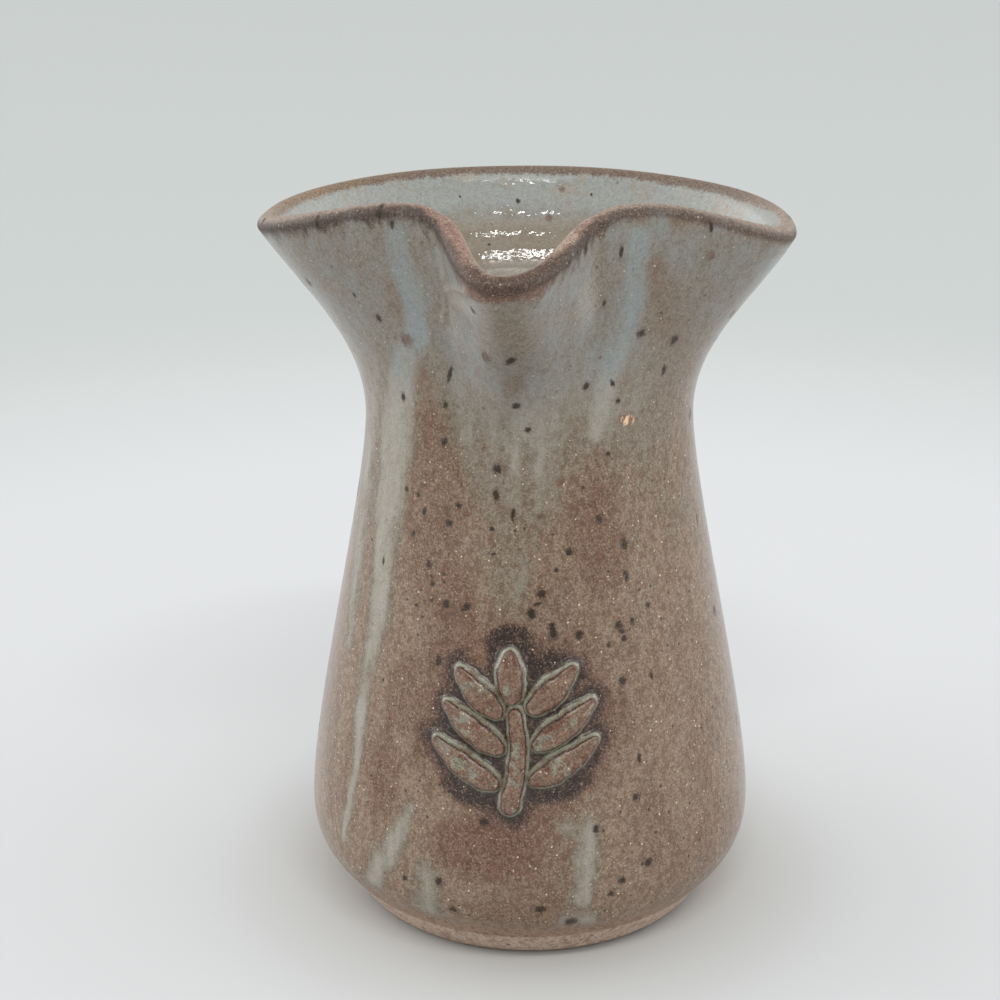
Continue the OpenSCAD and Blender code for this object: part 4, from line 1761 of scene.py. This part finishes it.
    def build(self) -> WallMesh:
        """Makes the wall's mesh and returns it.

        Its rim gap is each point's way to the rim's crest along the wall, positive on the outside.
        """
        angle = self.angles()
        grid, level, inside, crest = self.rows(angle)
        grid = self.worked(grid, level, inside, crest, angle)
        rows, columns = grid.shape[:2]
        flat = grid.reshape(-1, 3)
        creases = Marks(self.sighting, flat, np.repeat(1.0 - inside, columns))
        lines = creases.seen(LIP_CREASES)
        press = sum(strength * np.exp(-creases.along(way) ** 2) for way, strength in lines)
        flat = flat + self.normals(grid).reshape(-1, 3) * (press * creases.outer)[:, None]
        steps = np.linalg.norm(np.diff(grid, axis=0), axis=-1)
        travel = np.vstack([np.zeros((1, columns)), np.cumsum(steps, axis=0)])
        rim_gap = (travel[crest] - travel).reshape(-1)
        count = len(flat)
        ends = np.array([[0.0, 0.0, WallRows().end_z], [0.0, 0.0, self.shape.floor_t]])
        points = np.vstack([flat, ends])
        numbers = np.arange(count).reshape(rows, columns)
        beside = np.roll(numbers, -1, axis=1)
        quads = np.stack([numbers[:-1], beside[:-1], beside[1:], numbers[1:]], -1).reshape(-1, 4)
        under = [(count, int(b), int(a)) for a, b in zip(numbers[0], beside[0])]
        floor = [(count + 1, int(a), int(b)) for a, b in zip(numbers[-1], beside[-1])]
        piece = new_mesh("thrown_wall", points, [*quads.tolist(), *under, *floor])
        within = np.append(np.repeat(inside, columns), [0.0, 1.0])
        return WallMesh(piece, points, within, np.append(rim_gap, [rim_gap[0], rim_gap[-1]]))

    def back_runs(self, rng: np.random.Generator) -> tuple[list[Line], list[Line]]:
        """Draws the runs on the sides that the photograph doesn't show.

        Args:
            rng: the source of the draws.

        Returns:
            The thick runs and the rusty ones, as lines on the wall with their strengths.
        """
        spans = BackRuns()
        thick: list[Line] = []
        rusty: list[Line] = []
        kinds = ((thick, spans.thick_count, spans.thick_half), (rusty, spans.rusty_count, spans.rusty_half))
        for lines, count, widest in kinds:
            for i in range(count):
                angle = spans.start_angle + spans.wide_angle * (i + rng.uniform(*spans.place_share)) / count
                top, length = rng.uniform(*spans.top), rng.uniform(*spans.length)
                half = rng.uniform(*spans.half_share) * widest
                drift = rng.uniform(*spans.drift_angle)
                way = [
                    (
                        angle + drift * s + spans.sway_angle * math.sin(5 * s + i),
                        max(spans.lowest, top - length * s),
                        half * (1.0 - spans.taper * s) * (0.8 + 0.2 * math.sin(9 * s + i)),
                    )
                    for s in np.linspace(0.0, 1.0, spans.points)
                ]
                lines.append((way, float(rng.uniform(*spans.strength))))
        first, second = spans.low_steps
        for i in range(spans.low_count):
            place = (i + rng.uniform(*spans.place_share)) / spans.low_count
            angle = spans.low_start_angle + spans.low_wide_angle * place
            low, half = rng.uniform(*spans.low_z), rng.uniform(*spans.low_half)
            lean = rng.uniform(*spans.low_lean_angle)
            way = [(angle + lean, low + first, half * 0.5), (angle, low + second, half), (angle, low, half)]
            thick.append((way, float(rng.uniform(*spans.low_strength))))
        return thick, rusty

    def seen_flecks(self) -> list[FleckSpot]:
        """Returns the flecks of the photograph on the wall."""
        found = []
        for kind, flecks in FLECKS.items():
            for fleck in flecks:
                spot = self.sighting.at(fleck.across, fleck.down)
                if spot is None:
                    continue
                wide, high = fleck.width / 2 * spot.mm_per_px, fleck.height / 2 * spot.mm_per_px
                inward = bool(spot.out[:2] @ spot.place[:2] < 0)
                found.append(FleckSpot(spot.place, spot.out, wide, high, fleck.lean, kind, inward))
        return found

    def back_flecks(self, mesh: WallMesh, marks: Marks, rng: np.random.Generator) -> list[FleckSpot]:
        """Draws flecks where the photograph doesn't show the wall.

        Args:
            mesh: the wall.
            marks: the wall's fields.
            rng: the source of the draws.

        Returns:
            The flecks.
        """
        spans, normals, points = BackFlecks(), mesh.normals(), mesh.points
        candidates = np.flatnonzero(points[:, 2] > spans.lowest)
        found = []
        for _ in range(spans.draws):
            i = int(rng.choice(candidates))
            angle, inward = abs(float(marks.angle[i])), bool(mesh.inside[i] > 0)
            seen_inside = inward and angle > spans.seen_inside_angle and points[i, 2] > spans.seen_inside_z
            if seen_inside or not inward and angle < spans.seen_angle:
                continue
            half = float(rng.uniform(*spans.half))
            kind = FleckKind.RUST if rng.uniform() < spans.rust_share else FleckKind.IRON
            high = half * float(rng.uniform(*spans.long_share))
            lean = float(rng.uniform(*spans.lean_angle))
            found.append(FleckSpot(points[i], normals[i], half, high, lean, kind, inward))
        return found

    def add_flecks(self, mesh: WallMesh, flecks: Sequence[FleckSpot]) -> None:
        """Carries each point's place in its nearest fleck.

        Args:
            mesh: the wall.
            flecks: the flecks on it.
        """
        points = mesh.points
        nearest = np.full(len(points), FAR_OFF)
        offset = np.full((len(points), 3), FAR_OFF)
        kinds = np.zeros(len(points))
        for fleck in flecks:
            reach = 5.0 * max(fleck.wide, fleck.high) + 1.0
            close = np.flatnonzero(np.abs(points - fleck.place).max(axis=1) < reach)
            close = close[(mesh.inside[close] > 0) == fleck.inward]
            across, along = fleck.offsets(points[close])
            gap = np.hypot(across, along)
            better = gap < nearest[close]
            chosen = close[better]
            nearest[chosen] = gap[better]
            guard = 3.0 * np.maximum(0.0, gap - 1.9)
            offset[chosen] = np.stack([across, along, guard], -1)[better]
            kinds[chosen] = fleck.kind.value
        carry(mesh.piece, "fleck", offset)
        carry(mesh.piece, "fleck_kind", kinds)

    def thickness(self, marks: Marks, rim_gap: Array, runs: Sequence[Line]) -> Array:
        """How thick the glaze lies.

        Args:
            marks: the wall's fields.
            rim_gap: each point's way to the rim's crest.
            runs: the thick runs.

        Returns:
            0 where it is thin, to 1 where it is thick.
        """
        off, turn, level = np.abs(marks.angle), np.radians(marks.angle), marks.points[:, 2]
        under_rim = ramp(rim_gap, 3.0, 6.5) * (1.0 - ramp(rim_gap, 8.0, 17.0)) * ramp(off, 24.0, 33.0)
        cloud = 0.62 + 0.3 * np.sin(turn * 7 + 1.0) * np.sin(turn * 3 + 0.3)
        sag = wave_sum(turn, ((6.0, 3, 0.9), (4.0, 7, 2.0), (2.5, 13, 0.5)))
        spout = 1.0 - ramp(off, 12.0, 26.0)
        general = 0.1 + 0.16 * ramp(level, 48.0, 84.0)
        # A little more pale glaze near the spout: partly real, partly painted light in the lip's shaded
        # underside.
        general = general + (0.38 + 0.04 * spout) * ramp(level + sag, 73.0, 104.0)
        clouds = np.maximum(under_rim * cloud, general) * marks.outer
        return np.maximum(marks.field(runs, 0.0, 1.9), clouds)

    @staticmethod
    def sprig_gap(mesh: WallMesh, marks: Marks, outlines: Array) -> Array:
        """Each point's way to the sprig.

        Args:
            mesh: the wall.
            marks: the wall's fields.
            outlines: points all over the sprig's strips.

        Returns:
            The way in millimetres, held at a far value away from the sprig.
        """
        far, side_angle, top_z, chunk_len = 20.0, 40.0, 70.0, 2000
        beside = (np.abs(marks.angle) < side_angle) & (mesh.points[:, 2] < top_z) & (mesh.inside < 1)
        near = np.flatnonzero(beside)
        gap = np.full(len(mesh.points), far)
        for chunk in np.array_split(near, max(1, len(near) // chunk_len)):
            off = mesh.points[chunk][:, None, :] - outlines[None, :, :]
            gap[chunk] = np.minimum(far, np.sqrt((off**2).sum(-1).min(axis=1)))
        return gap

    def mark(self, mesh: WallMesh, outlines: Array) -> None:
        """Gives the wall's mesh the fields that its glaze reads.

        Args:
            mesh: the wall.
            outlines: points all over the sprig's strips.
        """
        rng = np.random.default_rng(self.seed + 1)
        marks = Marks(self.sighting, mesh.points, 1.0 - mesh.inside)
        back_thick, back_rusty = self.back_runs(rng)
        rusty = marks.field([*marks.seen(RUST_RUNS), *back_rusty], 0.1, 1.8)
        seam = marks.field(marks.seen(LIP_SEAM), 0.0, 2.2)
        angle, off, level = marks.angle, np.abs(marks.angle), mesh.points[:, 2]
        on_foot = np.hypot(mesh.points[:, 0], mesh.points[:, 1]) < self.shape.bevel_r
        fields = {
            "flank": np.sign(angle) * ramp(off, 3.0, 12.0) * (1.0 - ramp(off, 18.0, 34.0)),
            # Pale pooled glaze under the lip, with painted highlight and painted light in it.
            "cream_and_painted_light": np.maximum(seam, marks.patches(PALE_GLAZE_AND_LIGHT_PATCHES)),
            "east": ramp(angle, 18.0, 36.0) * (1.0 - ramp(angle, 96.0, 120.0)),
            "spout": 1.0 - ramp(off, 4.0, 16.0),
            "back": ramp(off, 98.0, 124.0),
            "ochre": np.exp(-(((angle + 112.0) / 22.0) ** 2)),
            "thick": self.thickness(marks, mesh.rim_gap, [*marks.seen(THICK_RUNS), *back_thick]),
            "rust": np.maximum(rusty, marks.patches(RUST_PATCHES)),
            "rim_gap": mesh.rim_gap,
            "sprig_gap": self.sprig_gap(mesh, marks, outlines),
            "pooled": marks.patches(POOL_PATCHES),
            "bare": (1.0 - ramp(level, 0.5, 1.0)) * on_foot * marks.outer,
        }
        for name, values in fields.items():
            carry(mesh.piece, name, values)
        flecks = [*self.seen_flecks(), *self.back_flecks(mesh, marks, rng)]
        self.add_flecks(mesh, flecks)
        log.info("thrown_wall: %d points, %d flecks", len(mesh.points), len(flecks))


@dataclass(frozen=True)
class Outline:
    """A strip's closed outline, drawn flat: up its right side and down its left."""

    middle: Array
    sideways: Array
    half: Array
    closing: Array
    axial: Array
    order: Array

    @property
    def points(self) -> Array:
        """Points of the outline."""
        return self.middle + self.sideways * self.half[:, None]

    @property
    def outward(self) -> Array:
        """Directions straight out of the outline."""
        ahead = np.roll(self.points, -1, axis=0) - np.roll(self.points, 1, axis=0)
        return unit(np.stack([ahead[:, 1], -ahead[:, 0]], -1))


@dataclass
class Sprig:
    """The leafy sprig of clay strips on the belly."""

    shape: SprigShape
    wall: ThrownWall
    rings: tuple[float, ...] = (0.16, 0.32, 0.48, 0.62, 0.74, 0.83, 0.9, 0.95, 0.985, 1.0)
    skirt: tuple[float, ...] = (0.1, 0.22, 0.36, 0.52, 0.72, 0.95, 1.2)
    skirt_h: float = 0.9
    skirt_reach: float = 0.6
    skirt_in: float = 0.22
    dome_in: float = 4.5
    dome_up: float = 2.2
    join_power: float = 4.0
    vein_half: float = 0.34
    narrowest: float = 0.4
    blunt_share: float = 1.15
    side_waves: tuple[tuple[float, float], ...] = ((1.1, 2.7), (1.2, 2.4))
    side_wave_shares: tuple[float, float] = (0.05, 0.03)
    sunk: float = 0.03
    depth: float = 0.3
    probe: float = 0.15
    first_seed: int = 11

    def on_wall(self, flat: Array, height: Array) -> Array:
        """Lays flat points on the wall.

        Args:
            flat: points across and up from the sprig's middle.
            height: how far each stands off the wall.

        Returns:
            The points in millimetres.
        """
        z, wall_r = self.shape.middle_z + flat[..., 1], self.wall.shape.wall_r
        r = wall_r(z)
        lean = (wall_r(z + self.probe) - wall_r(z - self.probe)) / (2 * self.probe)
        size = np.hypot(1.0, lean)
        turn = flat[..., 0] / r
        off = height + self.wall.unevenness(np.degrees(turn), z)
        reach = r + off / size
        return np.stack([reach * np.sin(turn), -reach * np.cos(turn), z - off * lean / size], -1)

    def outline(self, sprout: Sprout, rng: np.random.Generator) -> Outline:
        """A strip's outline with its uneven sides.

        Args:
            sprout: the strip drawn flat.
            rng: the source of the draws.

        Returns:
            The outline.
        """
        steps = np.linalg.norm(np.diff(sprout.spine, axis=0), axis=-1)
        travel = np.concatenate([[0.0], np.cumsum(steps)])
        end = np.minimum(travel, travel[-1] - travel)
        blunt = np.where(travel < travel[-1] / 2, sprout.half[0], sprout.half[-1]) * self.blunt_share
        axial = 1.0 - np.minimum(1.0, end / blunt)
        closing = np.sqrt(np.maximum(0.0, 1.0 - axial**2))
        start = rng.uniform(0, 2 * np.pi, 4).reshape(2, 2)
        first, second = self.side_wave_shares
        right, left = (
            1.0 + first * np.sin(travel * slow + begin[0]) + second * np.sin(travel * fast + begin[1])
            for (slow, fast), begin in zip(self.side_waves, start)
        )
        count = len(sprout.spine)
        order = np.concatenate([np.arange(count), np.arange(count - 2, 0, -1)])
        side = np.concatenate([np.ones(count), -np.ones(count - 2)])
        half = (sprout.half * closing)[order] * np.where(side > 0, right[order], left[order])
        sideways = np.stack([np.cos(sprout.way), -np.sin(sprout.way)], -1)[order] * side[:, None]
        return Outline(sprout.spine[order], sideways, half, closing[order], axial[order], order)

    def foot(self, reach: Array | float) -> Array:
        """Returns the height of the pooled glaze, from how far outside the outline it lies."""
        return self.skirt_h * np.exp(-(((reach + self.skirt_in) / self.skirt_reach) ** 2))

    def dome(self, full: Array, share: Array) -> Array:
        """Returns the height of the clay's rounded top, from the share of the way out to the outline."""
        return full * np.maximum(0.0, 1.0 - share**self.dome_in) ** (1 / self.dome_up)

    def strip(self, sprout: Sprout, seed: int) -> tuple[bpy.types.Object, Array]:
        """Makes one strip of clay with its rounded top and the glaze pooled at its foot.

        Args:
            sprout: the strip drawn flat.
            seed: the seed of its unevenness.

        Returns:
            The object and points along its outline and top.
        """
        line = self.outline(sprout, np.random.default_rng(seed))
        count, around = len(sprout.spine), len(line.order)
        full, local = sprout.height[line.order], np.maximum(self.narrowest, sprout.half[line.order])
        flats, heights, edges = [], [], []
        for share in self.rings:
            q = np.minimum(1.0, np.hypot(share * line.closing, line.axial))
            vein = sprout.vein * np.exp(-((share * line.half / self.vein_half) ** 2)) * line.closing**2
            top, foot = np.maximum(self.dome(full, q) - vein, 0.0), self.foot((q - 1.0) * local)
            flats.append(line.middle + line.sideways * (share * line.half)[:, None])
            joined = (top**self.join_power + foot**self.join_power) ** (1 / self.join_power)
            heights.append(joined - self.sunk)
            edges.append(q)
        feet = [(reach, float(self.foot(reach)) - self.sunk) for reach in self.skirt]
        for reach, height in [*feet, (self.skirt[-1], -self.depth)]:
            flats.append(line.points + line.outward * reach)
            heights.append(np.full(around, height))
            edges.append(np.full(around, 1.0 + reach))
        inner = slice(1, count - 1)
        axial, closing = line.axial[inner], line.closing[inner]
        ridge = self.dome(sprout.height[inner], axial) - sprout.vein * closing**2 - self.sunk
        flat_points = np.concatenate([sprout.spine[inner], *flats, sprout.spine[inner]])
        points = self.on_wall(flat_points, np.concatenate([ridge, *heights, np.full(count - 2, -self.depth)]))
        piece = new_mesh(f"sprig_{sprout.name}", points, self._faces(count, len(flats), around))
        carry(piece, "edge", np.concatenate([axial, *edges, np.ones(count - 2)]))
        return piece, points[: count - 2 + around * len(self.rings)]

    @staticmethod
    def _faces(count: int, rings: int, around: int) -> list[tuple[int, ...]]:
        """Faces of a strip: from its spine over its rings to the hidden spine below.

        Args:
            count: points along the spine, of which the two ends lie in the rings.
            rings: how many rings there are.
            around: points in a ring.

        Returns:
            The faces as numbers of points.
        """
        top, last = count - 2, count - 1
        low = top + rings * around

        def ring(level: int, i: int) -> int:
            """Returns the number of a ring's point."""
            return top + level * around + i % around

        def ridge(i: int, base: int) -> list[int]:
            """Returns the number of the spine's point beside point i of a ring, none at the strip's ends."""
            along = i % around if i % around < count else around - i % around
            return [] if along in (0, last) else [base + along - 1]

        faces: list[tuple[int, ...]] = []
        for i in range(around):
            for base, level, flip in ((0, 0, False), (low, rings - 1, True)):
                face = (ring(level, i), ring(level, i + 1), *ridge(i + 1, base), *ridge(i, base))
                faces.append(face if flip else face[::-1])
        for level in range(rings - 1):
            for i in range(around):
                faces.append((ring(level, i), ring(level, i + 1), ring(level + 1, i + 1), ring(level + 1, i)))
        return faces

    def build(self) -> tuple[list[bpy.types.Object], Array]:
        """Makes all strips.

        Returns:
            The objects, and points all over their tops.
        """
        pieces, seen = [], []
        for number, sprout in enumerate(self.shape.strips()):
            piece, points = self.strip(sprout, self.first_seed + number)
            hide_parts(sprout.name)
            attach(piece, "root")
            log.info("%s: %d points", piece.name, len(piece.data.vertices))
            pieces.append(piece)
            seen.append(points[::3])
        return pieces, np.vstack(seen)


@dataclass
class Studio:
    """The pale floor with a painted contact shadow round the pot and painted falloff far out, the plain soft
    light and the sky round them.
    """

    floor_r: float = 4.0
    floor_first_r: float = 0.03
    floor_rings: int = 24
    floor_around: int = 96
    floor_roughness: float = 0.75
    floor_specular: float = 0.2
    # near is darker: a painted contact shadow round the pot's foot; far is darker: painted falloff of the
    # light away from the pot.
    near: Colour = srgb(188, 189, 187)
    middle: Colour = srgb(197, 199, 200)
    far: Colour = srgb(181, 186, 184)
    middle_fade: Span = (0.036, 0.066)
    far_fade: Span = (0.2, 0.42)
    seen_sky: Colour = srgb(204, 209, 207)
    white: Colour = (1.0, 1.0, 1.0, 1.0)
    sky_front: float = 0.36
    sky_back: float = 1.0
    sky_left: float = 2.05
    sky_right: float = 1.4
    sky_top: float = 0.95
    back_fade: Span = (-0.75, 0.15)
    side_fade: Span = (0.32, 0.92)
    top_fade: Span = (0.35, 0.85)
    key_power: float = 5.4
    key_width: float = 0.75
    key_height: float = 0.08
    key_distance: float = 1.3
    key_elevation: float = 57.0
    key_azimuth: float = 14.0

    def build_floor(self) -> bpy.types.Object:
        """Makes the floor and returns it."""
        around = self.floor_around
        turn = 2 * np.pi * np.arange(around) / around
        circle = np.stack([np.cos(turn), np.sin(turn), np.zeros(around)], -1)
        radii = np.geomspace(self.floor_first_r, self.floor_r, self.floor_rings)
        points = np.vstack([np.zeros((1, 3)), *(radius * circle for radius in radii)])
        numbers = 1 + np.arange(self.floor_rings * around).reshape(self.floor_rings, around)
        beside = np.roll(numbers, -1, axis=1)
        middle = [(0, int(a), int(b)) for a, b in zip(numbers[0], beside[0])]
        quads = np.stack([numbers[:-1], numbers[1:], beside[1:], beside[:-1]], -1).reshape(-1, 4)
        floor = new_mesh("floor", points / METRE_PER_MM, [*middle, *quads.tolist()])
        material = bpy.data.materials.new("pale_floor")
        graph = Graph(material)
        gap = graph.value("ShaderNodeTexCoord", output="Object").length()
        # Painted contact shadow near the foot, then painted falloff of the light far out.
        colour = graph.mix(gap.step(*self.middle_fade), self.near, self.middle)
        colour = graph.mix(gap.step(*self.far_fade), colour, self.far)
        inputs = {
            "Base Color": colour,
            "Roughness": self.floor_roughness,
            "Specular IOR Level": self.floor_specular,
        }
        shader = graph.add("ShaderNodeBsdfPrincipled", None, inputs)
        graph.add("ShaderNodeOutputMaterial", None, {"Surface": shader.outputs[0]})
        floor.data.materials.append(material)
        return floor

    def build_sky(self) -> None:
        """Makes the world: bright round the sides and the back, dim towards the front."""
        world = bpy.data.worlds.new("studio")
        bpy.context.scene.world = world
        graph = Graph(world)
        side, back, up = graph.axes(graph.value("ShaderNodeTexCoord", output="Generated"))
        left, right = (side * -1.0).step(*self.side_fade), side.step(*self.side_fade)
        high = up.step(*self.top_fade)
        level = self.sky_front + back.step(*self.back_fade) * (self.sky_back - self.sky_front)
        level = level + left * self.sky_left + right * self.sky_right
        level = level * (1.0 - high) + high * self.sky_top
        light = graph.add("ShaderNodeBackground", None, {"Color": self.white, "Strength": level})
        seen = graph.add("ShaderNodeBackground", None, {"Color": self.seen_sky, "Strength": 1.0})
        camera_ray = graph.value("ShaderNodeLightPath", output="Is Camera Ray")
        shaders = {0: camera_ray, 1: light.outputs[0], 2: seen.outputs[0]}
        both = graph.add("ShaderNodeMixShader", None, shaders)
        graph.add("ShaderNodeOutputWorld", None, {"Surface": both.outputs[0]})

    def build_key(self) -> None:
        """Makes the key light, high in front of the pot."""
        data = bpy.data.lights.new("key", "AREA")
        data.shape, data.size, data.size_y = "RECTANGLE", self.key_width, self.key_height
        data.energy = self.key_power
        lamp = bpy.data.objects.new("key", data)
        azimuth, elevation = math.radians(self.key_azimuth), math.radians(self.key_elevation)
        across = math.cos(elevation)
        towards = Vector((math.sin(azimuth) * across, -math.cos(azimuth) * across, math.sin(elevation)))
        lamp.location = towards * self.key_distance
        lamp.rotation_mode = "QUATERNION"
        lamp.rotation_quaternion = towards.to_track_quat("Z", "Y")
        bpy.context.scene.collection.objects.link(lamp)

    def build(self) -> None:
        """Makes the floor, the sky and the key light."""
        self.build_floor()
        self.build_sky()
        self.build_key()
        bpy.context.scene.view_settings.view_transform = "Standard"


def main() -> None:
    """Builds the creamer and its studio."""
    logging.basicConfig(level=logging.INFO, format="%(name)s: %(message)s")
    camera = PhotoCamera()
    camera.build()
    sighting = Sighting(camera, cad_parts["body"])
    wall = ThrownWall(WallShape(), sighting)
    mesh = wall.build()
    body = mesh.piece
    strips, outlines = Sprig(SprigShape(), wall).build()
    wall.mark(mesh, outlines)
    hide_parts("body")
    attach(body, "root")
    finish = GlazeFinish()
    body.data.materials.append(finish.for_wall())
    sprig_glaze = finish.for_strip()
    for strip in strips:
        strip.data.materials.append(sprig_glaze)
    Studio().build()


if __name__ == "__main__":
    main()
